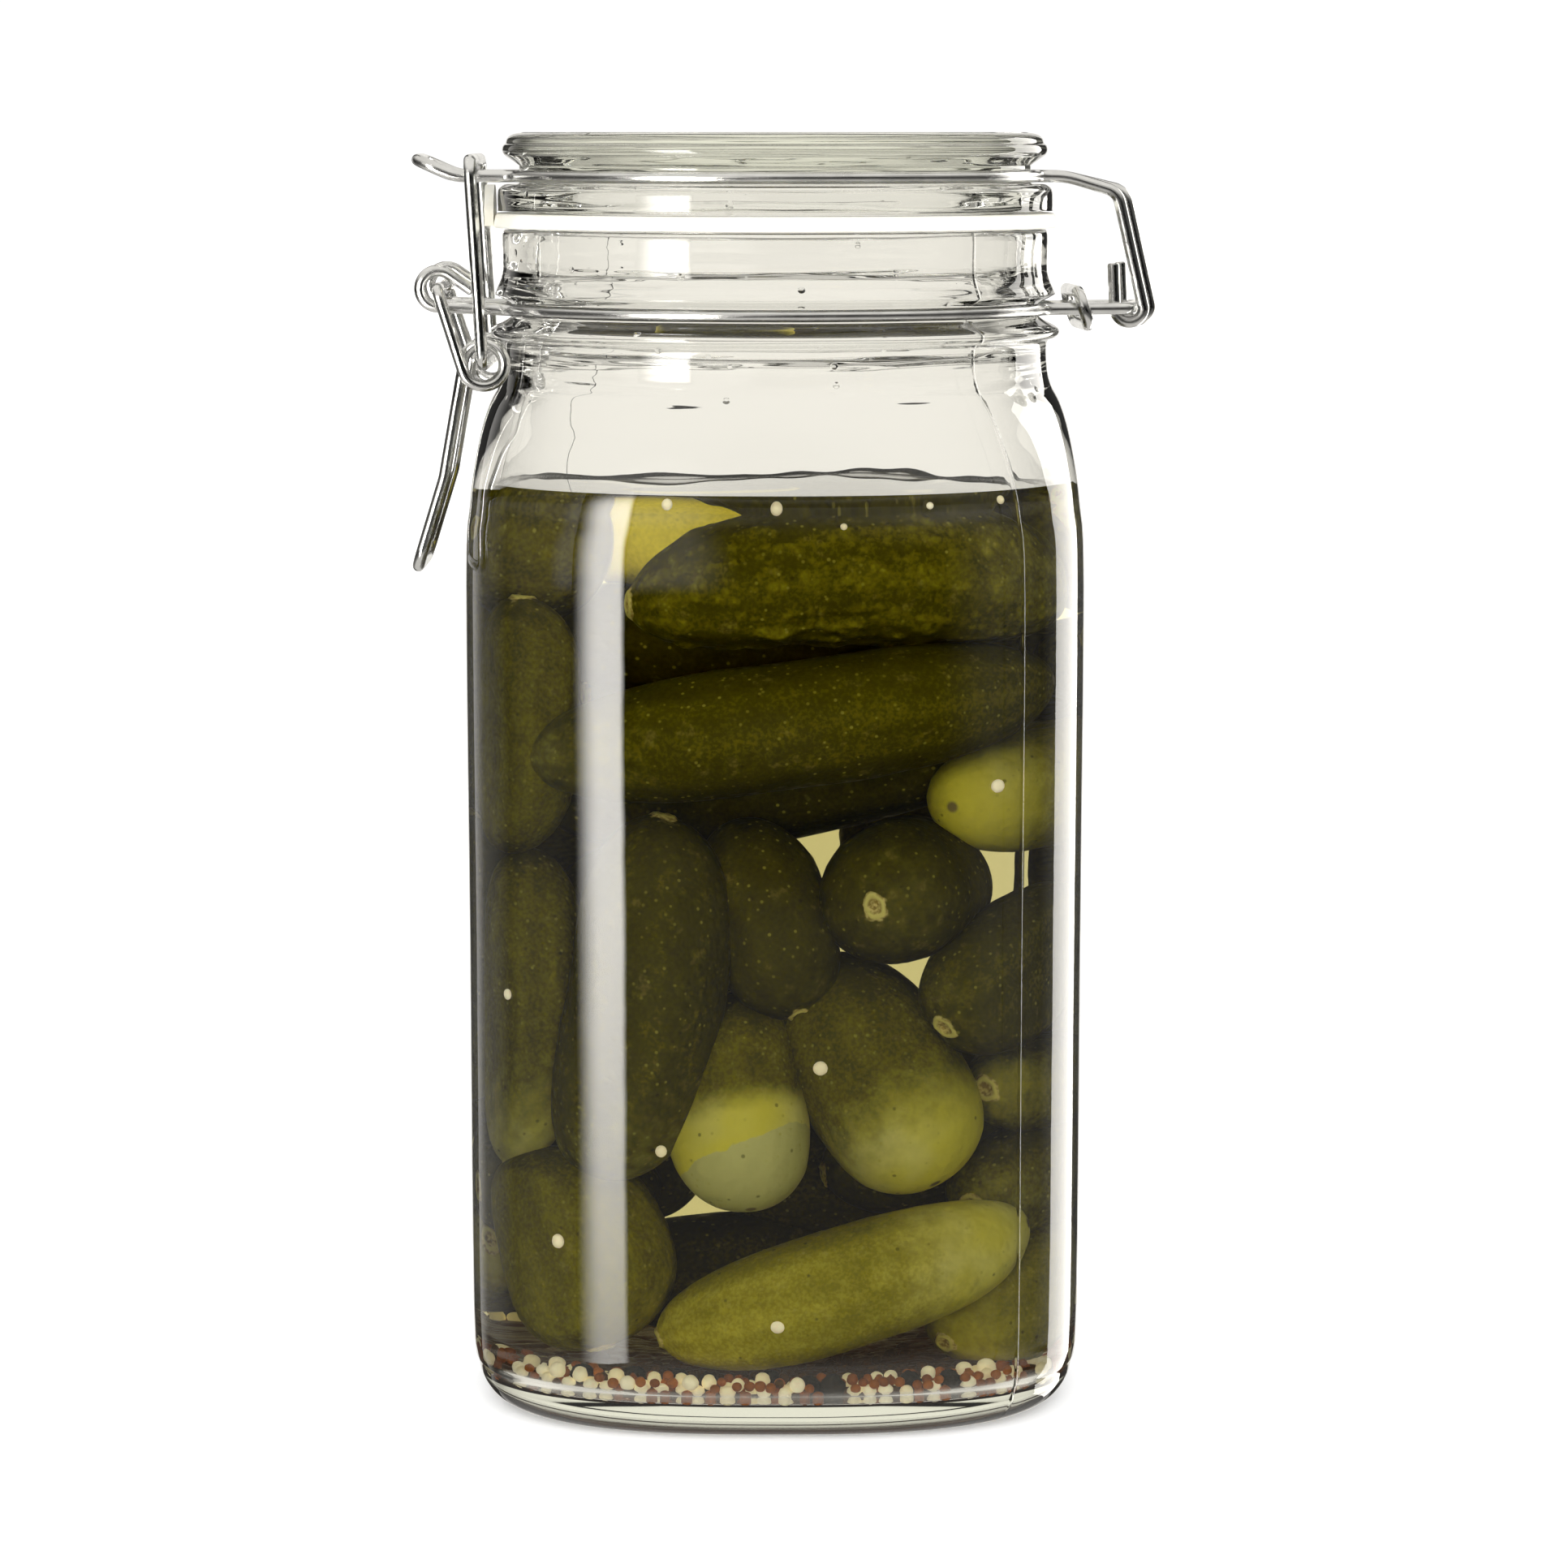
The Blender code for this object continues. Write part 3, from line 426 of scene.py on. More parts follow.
def soft_dot(distance, reach):
    """1 in the middle of a soft spot, falling to 0 around its reach."""
    return np.exp(-((distance / reach) ** 2))


def waves(seed, count, highest):
    """Random whole wave numbers, climbs and phases, for an unevenness that closes round the jar."""
    draw = random.Random(seed)
    found = []
    for _ in range(count):
        number, climb = draw.randint(1, highest), draw.uniform(-WAVE_CLIMB, WAVE_CLIMB)
        found.append((number, climb, draw.uniform(0.0, math.tau)))
    return found


def unevenness(terms, angles, height):
    """Between about -1 and 1 at each angle round the jar, at one height."""
    total = sum(np.sin(number * angles + climb * height + phase) for number, climb, phase in terms)
    return total / math.sqrt(len(terms))


def uneven_rings(rows, angles, terms):
    """Rings through (height, half-width, power) rows, with the waviness of pressed glass."""
    rings = []
    for height, half, power in rows:
        scale = 1.0 + GLASS_WAVINESS * unevenness(terms, angles, height) / max(half, WAVY_FROM)
        rings.append(ring(half, power, angles, height, scale))
    return rings


# Glass and rubber.


def in_metres(rows):
    """(height, half-width, power) rows in metres, from a table in millimetres."""
    return [(height * MM, half * MM, *power) for height, half, *power in rows]


def jar_angles():
    """Angles round the jar, closer together at the two mould seams."""
    angles = list(round_angles(JAR_SIDES))
    for seam in SEAM_ANGLES:
        for offset in (-0.012, -0.008, -0.005, -0.0025, 0.0025, 0.005, 0.008, 0.012):
            angles.append(seam + offset)
    return np.array(sorted(angles))


def seam_lift(angles, half):
    """How far the mould seams stand out at each angle."""
    return SEAM_HEIGHT * sum(soft_dot((angles - seam) * half, SEAM_WIDTH) for seam in SEAM_ANGLES)


def build_jar(finish):
    """The jar, one closed glass wall from the middle of its underside up and down to its floor."""
    angles = jar_angles()
    terms = waves(3, 6, 9)
    underside = [(UNDERSIDE_Z, share * UNDERSIDE_HALF, 2.6) for share in (0.02, 0.3, 0.6, 0.85)]
    floor = [(FLOOR_TOP_Z, share * FLOOR_HALF, 2.6) for share in (0.85, 0.6, 0.3, 0.02)]
    rings = []
    for height, half, power in smooth_profile(underside + in_metres(JAR_OUTSIDE), 4):
        uneven = OUTER_WAVINESS * unevenness(terms, angles, height)
        lift = (uneven + seam_lift(angles, half)) * min(1.0, height / SEAM_FROM_Z)
        rings.append(ring(half, power, angles, height, 1.0 + lift / half))
    inside = smooth_profile(in_metres(JAR_INSIDE) + floor, 5)
    rings += uneven_rings(inside, angles, waves(5, 7, 7))
    piece_from("jar_glass", *tube(rings), finish, "clear_glass", "glass_jar")


def build_lid(finish):
    """The lid, from the middle of its hollow under and up to the middle of its top."""
    corners = [(*corner, ROUND_POWER) for corner in in_metres(LID_PROFILE)]
    profile = smooth_profile(corners, 4)[::-1]
    rings = uneven_rings(profile, round_angles(LID_SIDES), waves(11, 6, 9))
    piece_from("lid_glass", *tube(rings), finish, "clear_glass", "lid")


def build_gasket(finish):
    """The flat rubber ring, and its pull tab standing beside the lid."""
    corners = (
        (GASKET_TOP_Z, GASKET_BORE_R),
        (GASKET_TOP_Z, GASKET_TOP_R - GASKET_EDGE),
        (GASKET_TOP_Z - GASKET_EDGE, GASKET_TOP_R),
        (GASKET_BOTTOM_Z + GASKET_EDGE, GASKET_BOTTOM_R),
        (GASKET_BOTTOM_Z, GASKET_BOTTOM_R - GASKET_EDGE),
        (GASKET_BOTTOM_Z, GASKET_BORE_R),
    )
    angles = round_angles(LID_SIDES)
    points = np.vstack([ring(radius, ROUND_POWER, angles, height) for height, radius in corners])
    faces = [face[::-1] for face in grid_faces(len(corners), LID_SIDES, looped=True)]
    piece_from("gasket_ring", points, faces, finish, "pale_rubber", "gasket")
    bend = TAB_HALF * TAB_ROUNDNESS
    outline = [(-TAB_HALF, TAB_BOTTOM_Z)]
    for angle in np.linspace(math.pi, 0.0, TAB_STEPS):
        outline.append((TAB_HALF * math.cos(angle), TAB_TOP_Z - bend + bend * math.sin(angle)))
    outline.append((TAB_HALF, TAB_BOTTOM_Z))
    rings = [np.array([(x, y, z) for y, z in outline[::-1]]) for x in (TAB_OUT_X, TAB_IN_X)]
    piece_from("gasket_tab", *tube(rings), finish, "pale_rubber", "gasket", smooth=False)


# Wires. A route is a list of (corner, bend radius); points that already lie on a curve have 0.


def at(place_xz, y, skew=0.0):
    """A point at a distance in Y, pushed along X by its skew."""
    return Vector((place_xz[0] + skew * y, y, place_xz[1]))


def turn(centre_xz, radius, start, end, near, far):
    """Route over an arc about an axis along Y that drifts from the near to the far offset."""
    count = max(2, math.ceil(abs(end - start) / ARC_STEP)) + 1
    route = []
    for angle, y in zip(np.linspace(start, end, count), np.linspace(near, far, count)):
        place = (centre_xz[0] + radius * math.cos(angle), centre_xz[1] + radius * math.sin(angle))
        route.append((at(place, y), 0.0))
    return route


def ring_arc(radius, height, start, end, side):
    """Route round the jar's axis between two angles from +X, on the side of that sign of Y."""
    count = max(2, math.ceil(abs(end - start) / RING_STEP)) + 1
    route = []
    for angle in np.linspace(start, end, count):
        place = (radius * math.cos(angle), side * radius * math.sin(angle), height)
        route.append((Vector(place), 0.0))
    return route


def rounded(corners, cyclic):
    """The points of a route, bent to the radius given with each corner."""
    count = len(corners)
    points = []
    for index, (corner, radius) in enumerate(corners):
        is_end = not cyclic and index in (0, count - 1)
        if radius == 0.0 or is_end:
            points.append(corner)
            continue
        back = (corners[index - 1][0] - corner).normalized()
        ahead = (corners[(index + 1) % count][0] - corner).normalized()
        half_angle = back.angle(ahead) / 2.0
        reach = radius / math.tan(half_angle)
        middle = corner + (back + ahead).normalized() * (radius / math.sin(half_angle))
        first = corner + back * reach - middle
        last = corner + ahead * reach - middle
        swing = math.pi - 2.0 * half_angle
        steps = max(2, math.ceil(swing / ARC_STEP))
        for step in range(steps + 1):
            part = swing * step / steps
            reached = first * math.sin(swing - part) + last * math.sin(part)
            points.append(middle + reached / math.sin(swing))
    return points


def tangents(route, cyclic):
    """The direction of a route at each of its points."""
    found = []
    for index in range(len(route)):
        before = route[index - 1] if cyclic or index else route[0]
        after = route[(index + 1) % len(route)] if cyclic or index < len(route) - 1 else route[-1]
        found.append((after - before).normalized())
    return found


def wire(name, corners, finish, node, cyclic=False):
    """A round wire along the route, with chamfered ends unless it is cyclic."""
    route = rounded(corners, cyclic)
    ways = tangents(route, cyclic)
    helper = Vector((0.0, 0.0, 1.0)) if abs(ways[0].z) < 0.9 else Vector((1.0, 0.0, 0.0))
    spoke = ways[0].cross(helper).normalized()
    spokes = []
    for way in ways:
        spoke = (spoke - way * spoke.dot(way)).normalized()
        spokes.append(spoke)
    twist = 0.0
    if cyclic:
        last = (spokes[-1] - ways[0] * spokes[-1].dot(ways[0])).normalized()
        twist = math.atan2(ways[0].dot(last.cross(spokes[0])), last.dot(spokes[0])) / len(route)
    stations = [[*parts, WIRE_R] for parts in zip(route, ways, spokes)]
    if not cyclic:
        ends = [[*stations[index][:3], WIRE_R - WIRE_CHAMFER] for index in (0, -1)]
        stations[0][0] = route[0] + ways[0] * WIRE_CHAMFER
        stations[-1][0] = route[-1] - ways[-1] * WIRE_CHAMFER
        stations = [ends[0], *stations, ends[1]]
    rings, lengths, length = [], [], 0.0
    turns = math.tau * np.arange(WIRE_SIDES) / WIRE_SIDES
    for index, (point, way, spoke, radius) in enumerate(stations):
        length += (point - stations[max(index - 1, 0)][0]).length
        lengths += [length] * WIRE_SIDES
        angles = (turns + twist * index)[:, None]
        spokes = np.array(spoke) * np.cos(angles) + np.array(way.cross(spoke)) * np.sin(angles)
        rings.append(np.array(point) + radius * spokes)
    points, faces = tube(rings)
    if cyclic:
        faces = grid_faces(len(rings), WIRE_SIDES, looped=True)
    item = piece_from(name, points, faces, finish, "steel_wire", node)
    item.data.set_sharp_from_angle(angle=math.radians(30.0))
    attribute(item, "along", lengths)
    attribute(item, "around", np.tile(np.sin(turns), len(rings)))


def both_sides(half):
    """The route of a wire from the end of one half to the end of the other."""
    return half(-1) + half(1)[::-1]


def bail_half(side):
    """The bail from its hinge stub round one side of the lid to the middle of its upturned tip."""
    arm_y = side * BAIL_ARM_HALF
    loop_y = side * BAIL_LOOP_HALF
    right = math.asin(BAIL_ARM_HALF / BAIL_RING_R)
    left = math.asin(BAIL_LOOP_HALF / BAIL_RING_R)
    hook_x = HINGE[0] + HINGE_SKEW * arm_y
    return [
        (at(HOOK_STUB, arm_y, HINGE_SKEW), 0.0),
        *turn((hook_x, HINGE[1]), HOOK_R, math.pi, math.tau, arm_y, arm_y),
        (at(BAIL_ARM_BEND, arm_y, HINGE_SKEW), BAIL_ARM_BEND_R),
        (at(BAIL_ARM_TOP, arm_y), BAIL_ARM_TOP_BEND_R),
        (at((BAIL_RING_R * math.cos(right), BAIL_Z), arm_y), BAIL_RING_BEND_R),
        *ring_arc(BAIL_RING_R, BAIL_Z, right + RING_LEAD, math.pi - left - RING_LEAD, side),
        (at((-BAIL_RING_R * math.cos(left), BAIL_Z), loop_y), BAIL_LOOP_BEND_R),
        (at((BAIL_LIFT_X, BAIL_Z), loop_y), BAIL_LIFT_BEND_R),
        (at(BAIL_TIP, loop_y), BAIL_TIP_BEND_R),
    ]


def neck_band_half(side):
    """The band from its eye's tail round one side of the neck to a corner of the hinge loop."""
    eye_y = side * BAND_EYE_HALF
    u_y = side * BAND_U_HALF
    left = math.asin(BAND_EYE_HALF / BAND_RING_R)
    right = math.asin(BAND_U_HALF / BAND_RING_R)
    return [
        (at(BAND_TAIL, eye_y), 0.0),
        *turn(BAND_EYE, BAND_EYE_R, BAND_TAIL_ANGLE, 1.5 * math.pi, eye_y, eye_y),
        (at((-BAND_RING_R * math.cos(left), BAND_Z), eye_y), BAND_RING_BEND_R),
        *ring_arc(BAND_RING_R, BAND_Z, math.pi - left - RING_LEAD, right + RING_LEAD, side),
        (at((BAND_RING_R * math.cos(right), BAND_Z), u_y), BAND_RING_BEND_R),
        (at(HINGE, u_y, HINGE_SKEW), BAND_U_BEND_R),
    ]


def lever_half(side):
    """The lever from its pivot stub, down the arm, once round the coil and down to the tip."""
    arm_y = side * LEVER_ARM_HALF
    leg_y = side * LEVER_LEG_HALF
    return [
        (at(LEVER_PIVOT, side * LEVER_STUB_HALF), 0.0),
        (at(LEVER_PIVOT, arm_y), LEVER_PIVOT_BEND_R),
        *turn(COIL, COIL_R, COIL_START, COIL_END, arm_y, leg_y),
        (at(LEVER_BEND, leg_y), LEVER_LEG_BEND_R),
        (at(LEVER_TIP, leg_y), LEVER_TIP_BEND_R),
    ]


def clip_ring():
    """A flat ring of wire round both strands of the neck band, just before the hinge."""
    route = []
    for offset, rise in ((-1, 1), (-1, -1), (1, -1), (1, 1)):
        y, lift = offset * CLIP_HALF, rise * CLIP_RISE
        place = (CLIP_X - CLIP_TURN * y - CLIP_LEAN * lift, HINGE[1] + lift)
        route.append((at(place, y), CLIP_RISE * CLIP_ROUNDNESS))
    return route


def build_wires(finish):
    link = [at(place, -LINK_HALF) for place in (LINK_TOP, COIL)]
    link += [at(place, LINK_HALF) for place in (COIL, LINK_TOP)]
    wire("bail_wire", both_sides(bail_half), finish, "bail")
    wire("neck_band_wire", both_sides(neck_band_half), finish, "neck_band")
    wire("clip_ring_wire", clip_ring(), finish, "clip_ring", cyclic=True)
    wire("lever_wire", both_sides(lever_half), finish, "lever")
    wire("link_wire", [(corner, LINK_CORNER_R) for corner in link], finish, "link", cyclic=True)


# Contents.


def inner_half(heights):
    """The half-width of the jar's inside at heights within the straight body."""
    low, high = BASE_HALF - WALL, BODY_HALF - WALL
    body = np.interp(heights, (INNER_LOW_Z, INNER_HIGH_Z), (low, high))
    floor = np.interp(heights, (FLOOR_INSET_Z, INNER_LOW_Z), (FLOOR_INSET, 0.0))
    return body - floor - np.interp(heights, SHOULDER_INSET_Z, (0.0, SHOULDER_INSET))


def press_inside(points):
    """Moves points that would touch the glass, the brine's top or the seeds to just inside them."""
    heights = np.clip(points[:, 2], HEAP_FLOOR_Z, HEAP_TOP_Z)
    size = (np.abs(points[:, :2]) ** BODY_POWER).sum(axis=1) ** (1.0 / BODY_POWER)
    share = np.minimum(1.0, (inner_half(heights) - GAP) / np.maximum(size, 1e-6))
    return np.column_stack((points[:, 0] * share, points[:, 1] * share, heights))


def lumps(draw, count, ways, reach, height):
    """A sum of soft round bumps of about one reach at random places over unit directions."""
    total = np.zeros(len(ways))
    for _ in range(count):
        centre = np.array([draw.gauss(0.0, 1.0) for _ in range(3)])
        centre /= np.linalg.norm(centre)
        width = reach * draw.uniform(0.7, 1.3)
        total += height * draw.uniform(0.4, 1.0) * np.exp(-((1.0 - ways @ centre) / width**2))
    return total


def gherkin(index, row, rings, sides):
    """Points, faces and per-vertex numbers of one gherkin."""
    tip_a, tip_b, radius, bow, tone, pale_a, pale_b, warty = row
    draw = random.Random(GHERKIN_SEED + index)
    start, end, lift = (np.array(part) * MM for part in (tip_a, tip_b, bow))
    share = 0.5 - 0.5 * np.cos(np.pi * (np.arange(rings) + 0.35) / (rings - 0.3))
    angles = math.tau * np.arange(sides) / sides
    grid_s, grid_a = np.meshgrid(share, angles, indexing="ij")
    swell = np.sqrt(1.0 - np.abs(2.0 * grid_s - 1.0) ** GHERKIN_BLUNTNESS)
    taper = 1.0 + draw.uniform(-0.06, 0.06) * (2.0 * grid_s - 1.0)
    lobes = 1.0 + 0.025 * np.cos(3.0 * grid_a + draw.uniform(0.0, math.tau))
    waist = math.tau * grid_s * draw.uniform(1.0, 1.8)
    waist = 1.0 + 0.02 * np.sin(waist + draw.uniform(0.0, math.tau))
    reach = radius * MM * swell * taper * lobes * waist
    axis = (end - start) / np.linalg.norm(end - start)
    first = np.cross(axis, (0.0, 0.0, 1.0) if abs(axis[2]) < 0.8 else (1.0, 0.0, 0.0))
    first /= np.linalg.norm(first)
    second = np.cross(axis, first)
    spokes = first * np.cos(grid_a)[..., None] + second * np.sin(grid_a)[..., None]
    ways = axis * (2.0 * grid_s - 1.0)[..., None] * 1.6 + spokes * swell[..., None]
    ways = ways.reshape(-1, 3)
    ways /= np.linalg.norm(ways, axis=1)[:, None]
    warts = lumps(draw, int(60 + 300 * warty**2), ways, 0.050, WART_HEIGHT * (0.4 + warty**2))
    bumps = (warts + lumps(draw, DENTS, ways, DENT_REACH, DENT_HEIGHT)).reshape(grid_s.shape)
    points = start + (end - start) * grid_s[..., None]
    points += lift * (4.0 * grid_s * (1.0 - grid_s))[..., None]
    points += spokes * (reach + bumps * swell)[..., None]
    ragged = reach * (1.0 + 0.14 * np.cos(2.0 * grid_a + index) + 0.05 * np.cos(5.0 * grid_a))
    stem = soft_dot(ragged, SCAR_R) * (grid_s < 0.5)
    rim = soft_dot(ragged - SCAR_RIM_R, SCAR_RIM_WIDTH) * (grid_s < 0.5)
    points -= axis * (SCAR_RIM_DEPTH * rim - SCAR_LIFT * stem)[..., None]
    points = press_inside(np.vstack((points.reshape(-1, 3), start, end)))
    count = rings * sides
    faces = grid_faces(rings, sides)
    for side in range(sides):
        after = (side + 1) % sides
        faces.append((count, after, side))
        faces.append((count + 1, count - sides + side, count - sides + after))

    def numbered(grid, at_start=0.0, at_end=0.0):
        return np.append(grid.reshape(-1), (at_start, at_end))

    along = numbered(grid_s, 0.0, 1.0)
    pale = pale_a * np.clip(1.0 - along / PALE_REACH, 0.0, 1.0) ** PALE_FALL
    pale += pale_b * np.clip(1.0 - (1.0 - along) / PALE_REACH, 0.0, 1.0) ** PALE_FALL
    return points, faces, {
        "tone": np.full(len(along), tone),
        "pale": pale * (1.0 + 0.25 * numbered(spokes[..., 0])),
        "scar": np.clip(numbered(stem + rim, 1.0), 0.0, 1.0),
        "blossom": numbered(soft_dot(reach, BLOSSOM_R) * (grid_s > 0.5), 0.0, 1.0),
        "stripe": numbered(np.cos(9.0 * grid_a + 0.6 * np.sin(12.0 * grid_s))),
        "warty": np.full(len(along), warty),
        # Wart height, which the skin material paints as lighter wart tops, a painted highlight.
        "rise": numbered(warty * warts / WART_HEIGHT),
        "rim": numbered(rim),
        "shift": np.full(len(along), PATTERN_SHIFT * index),
    }


def join_shapes(name, shapes, finish, slot, node):
    """One piece from several (points, faces, numbers)."""
    faces, first = [], 0
    for points, shape_faces, _ in shapes:
        faces += [tuple(first + corner for corner in face) for face in shape_faces]
        first += len(points)
    item = piece_from(name, np.vstack([shape[0] for shape in shapes]), faces, finish, slot, node)
    for key in shapes[0][2]:
        attribute(item, key, np.concatenate([shape[2][key] for shape in shapes]))


def build_gherkins(finish):
    """Every gherkin by rows: the front ones one by one and finely, the others joined."""
    for index, row in enumerate(FRONT_GHERKINS):
        fine = 2 if row[-1] > FINELY_FROM else 1
        shape = gherkin(index, row, 96 * fine, 64 * fine)
        name = f"gherkin_front_{index + 1:02d}"
        join_shapes(name, [shape], finish, "gherkin_skin", "gherkin_heap")
    first = len(FRONT_GHERKINS)
    for name, rows in (
        ("gherkins_side", SIDE_GHERKINS),
        ("gherkins_back", BACK_GHERKINS),
        ("gherkins_inner", INNER_GHERKINS),
    ):
        shapes = [gherkin(first + index, row, 68, 46) for index, row in enumerate(rows)]
        join_shapes(name, shapes, finish, "gherkin_skin", "gherkin_heap")
        first += len(rows)


def ball(subdivisions):
    """Points and faces of a unit icosphere."""
    shape = bmesh.new()
    bmesh.ops.create_icosphere(shape, subdivisions=subdivisions, radius=1.0)
    points = np.array([vertex.co for vertex in shape.verts])
    faces = [tuple(vertex.index for vertex in face.verts) for face in shape.faces]
    shape.free()
    return points, faces


def seed_shape(template, centre, radius, draw, wrinkle, deep=0.0):
    """One seed: a ball slightly out of round, wrinkled where it is a peppercorn."""
    points, faces = template
    stretch = np.array([draw.uniform(0.93, 1.07) for _ in range(3)])
    axis = np.array([draw.uniform(-6.0, 6.0) for _ in range(3)])
    folds = np.sin(points @ axis * 1.3 + draw.uniform(0.0, 6.0)) * np.sin(points @ axis[::-1] * 1.7)
    shaped = points * stretch * (radius * (1.0 + wrinkle * folds))[:, None] + np.array(centre)
    tone = np.full(len(points), draw.random())
    return shaped, faces, {"tone": tone, "deep": np.full(len(points), deep)}


def settle(draw, placed, radius, nearest):
    """A free place for a seed on the floor or on those under it, or None."""
    floor = FLOOR_Z + SEED_GAP
    for _ in range(30):
        angle = draw.uniform(-math.pi, math.pi)
        if draw.random() < SEEDS_IN_FRONT:
            angle = draw.uniform(*FRONT_ANGLES)
        reach = (SEEDS_HALF - radius) * math.sqrt(draw.uniform(nearest, 1.0))
        plan = ring(reach, BODY_POWER, np.array([angle]), 0.0)[0][:2]
        height = floor + radius
        for _ in range(6):
            crossed = False
            for x, y, z, other in placed:
                gap = math.dist((*plan, height), (x, y, z)) - (radius + other) * SEED_OVERLAP
                if gap < 0.0:
                    flat = math.dist(plan, (x, y))
                    height = z + math.sqrt(max((radius + other) ** 2 - flat**2, 0.0)) + 1e-5
                    crossed = True
            if not crossed:
                break
        if not crossed and height < floor + SEED_PILE:
            return *plan, height
    return None


def build_seeds(finishes):
    """Settled spice round the jar's floor: cream and red-brown mustard seeds and peppercorns."""
    draw = random.Random(7)
    placed = []
    for kind, count, low, high, detail, wrinkle in SEED_KINDS:
        template = ball(detail)
        shapes = []
        for _ in range(count):
            radius = draw.uniform(low, high)
            is_deep = kind == "brown" and draw.random() > SEEDS_AT_WALL
            spot = settle(draw, placed, radius, DEEP_FROM if is_deep else WALL_FROM)
            if spot is not None:
                placed.append((*spot, radius))
                # Brown seeds placed away from the wall carry painted shade.
                shapes.append(seed_shape(template, spot, radius, draw, wrinkle, float(is_deep)))
        if kind == "cream":
            for spot, size in LOOSE_SEEDS:
                shapes.append(seed_shape(template, spot, LOOSE_SEED_R * size, draw, wrinkle))
        join_shapes(f"seeds_{kind}", shapes, finishes[kind], "mustard_seed", "seed_bed")


def build_bed(finish):
    """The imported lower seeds: their round tops as one surface, over a flat underside."""
    draw = np.random.default_rng(9)
    line = np.linspace(-1.0, 1.0, BED_GRID)
    across, along = (grid.reshape(-1) for grid in np.meshgrid(line, line, indexing="xy"))
    reach = BED_HALF * np.maximum(np.abs(across), np.abs(along))
    points = ring(reach, BODY_POWER, np.arctan2(along, across), FLOOR_Z + BED_UNDER)
    seeds = draw.uniform(-BED_HALF, BED_HALF, (BED_SEEDS, 2))
    gaps = np.linalg.norm(points[:, None, :2] - seeds[None, :, :], axis=2)
    numbers = np.arange(BED_GRID**2).reshape(BED_GRID, BED_GRID)
    edge = [*numbers[0], *numbers[1:, -1], *numbers[-1, -2::-1], *numbers[-2:0:-1, 0]]
    under = points[edge]
    tops = np.sqrt(np.clip(1.0 - (gaps.min(axis=1) / (2.0 * BED_SEED_R)) ** 2, 0.0, 1.0))
    points[:, 2] = FLOOR_Z + BED_OVER + BED_SEED_R * tops
    quads = (numbers[:-1, :-1], numbers[:-1, 1:], numbers[1:, 1:], numbers[1:, :-1])
    faces = list(zip(*(corner.reshape(-1).tolist() for corner in quads)))
    rim = len(points) + np.arange(len(edge))
    faces += zip(np.roll(edge, -1), edge, rim, np.roll(rim, -1))
    faces.append(rim[::-1])
    points = np.vstack((points, under))
    bed = piece_from("seeds_bed", points, faces, finish, "mustard_seed", "seed_bed")
    tones = draw.uniform(0.0, 1.0, BED_SEEDS)[gaps.argmin(axis=1)]
    attribute(bed, "tone", np.append(tones, np.zeros(len(edge))))
    # The whole bed carries painted shade.
    attribute(bed, "deep", np.full(len(points), BED_DEPTH))


def build_brine(finish):
    """The liquid, reaching just into the glass, with its top drawn up against the wall."""
    angles = round_angles(JAR_SIDES)
    inside = [row for row in smooth_profile(in_metres(JAR_INSIDE), 5) if row[0] < BRINE_Z]
    edge_half = inner_half(np.array([BRINE_Z]))[0]
    at_back = np.clip(np.sin(angles), 0.0, 1.0) ** 0.5
    uneven = MENISCUS_UNEVENNESS * unevenness(waves(21, 9, 31), angles, 0.0)
    rise = MENISCUS_RISE * (1.0 + at_back * uneven)
    low = FLOOR_Z - BRINE_BITE
    rings = [ring(share * (BASE_HALF - 0.0110), 2.65, angles, low) for share in (0.02, 0.5, 0.9)]
    for height, half, power in inside[::-1]:
        rings.append(ring(half + BRINE_BITE, power, angles, height - BRINE_BITE))
    for share, before, behind in MENISCUS_CURVE:
        inset = before + (behind - before) * at_back
        rings.append(ring(edge_half - inset, 2.62, angles, BRINE_Z + rise * share))
    for share in (1.0, 0.6, 0.3, 0.02):
        rings.append(ring(share * (edge_half - 0.007), 2.55, angles, BRINE_Z))
    piece_from("brine_liquid", *tube(rings), finish, "brine")


# Materials. Most helpers find the node tree from the socket they are given.


def feed(node, inputs):
    """Sets a node's inputs to numbers and colours, or links them from sockets."""
    for key, value in inputs.items():
        socket = node.inputs[key]
        if isinstance(value, bpy.types.NodeSocket):
            node.id_data.links.new(value, socket)
        else:
            socket.default_value = (*value, 1.0) if socket.type == "RGBA" else value


def add(tree, kind, inputs, output=0, **settings):
    """A node with its settings and inputs, as one of its output sockets."""
    made = tree.nodes.new("ShaderNode" + kind)
    for key, value in settings.items():
        setattr(made, key, value)
    feed(made, inputs)
    return made.outputs[output]


def maths(operation, first, second, **settings):
    """The result of one sum on two sockets or numbers, of which one at least is a socket."""
    tree = (first if isinstance(first, bpy.types.NodeSocket) else second).id_data
    return add(tree, "Math", {0: first, 1: second}, operation=operation, **settings)


def times(first, second):
    return maths("MULTIPLY", first, second)


def plus(first, *others):
    for other in others:
        first = maths("ADD", first, other)
    return first


def largest(first, *others):
    for other in others:
        first = maths("MAXIMUM", first, other)
    return first


def size_of(value):
    return maths("ABSOLUTE", value, 0.0)


def spread(value, low, high, to_low=0.0, to_high=1.0):
    """A value mapped smoothly from one range to another."""
    inputs = dict(enumerate((value, low, high, to_low, to_high)))
    return add(value.id_data, "MapRange", inputs, interpolation_type="SMOOTHSTEP")


def ramp(factor, stops):
    """A colour along stops of (place, linear colour)."""
    made = add(factor.id_data, "ValToRGB", {"Fac": factor})
    band = made.node.color_ramp
    while len(band.elements) < len(stops):
        band.elements.new(0.5)
    for element, (place, colour) in zip(band.elements, stops):
        element.position = place
        element.color = (*colour, 1.0)
    return made


def mix_colour(factor, first, second):
    """One colour mixed into another."""
    inputs = {0: factor, 6: first, 7: second}
    return add(factor.id_data, "Mix", inputs, 2, data_type="RGBA")


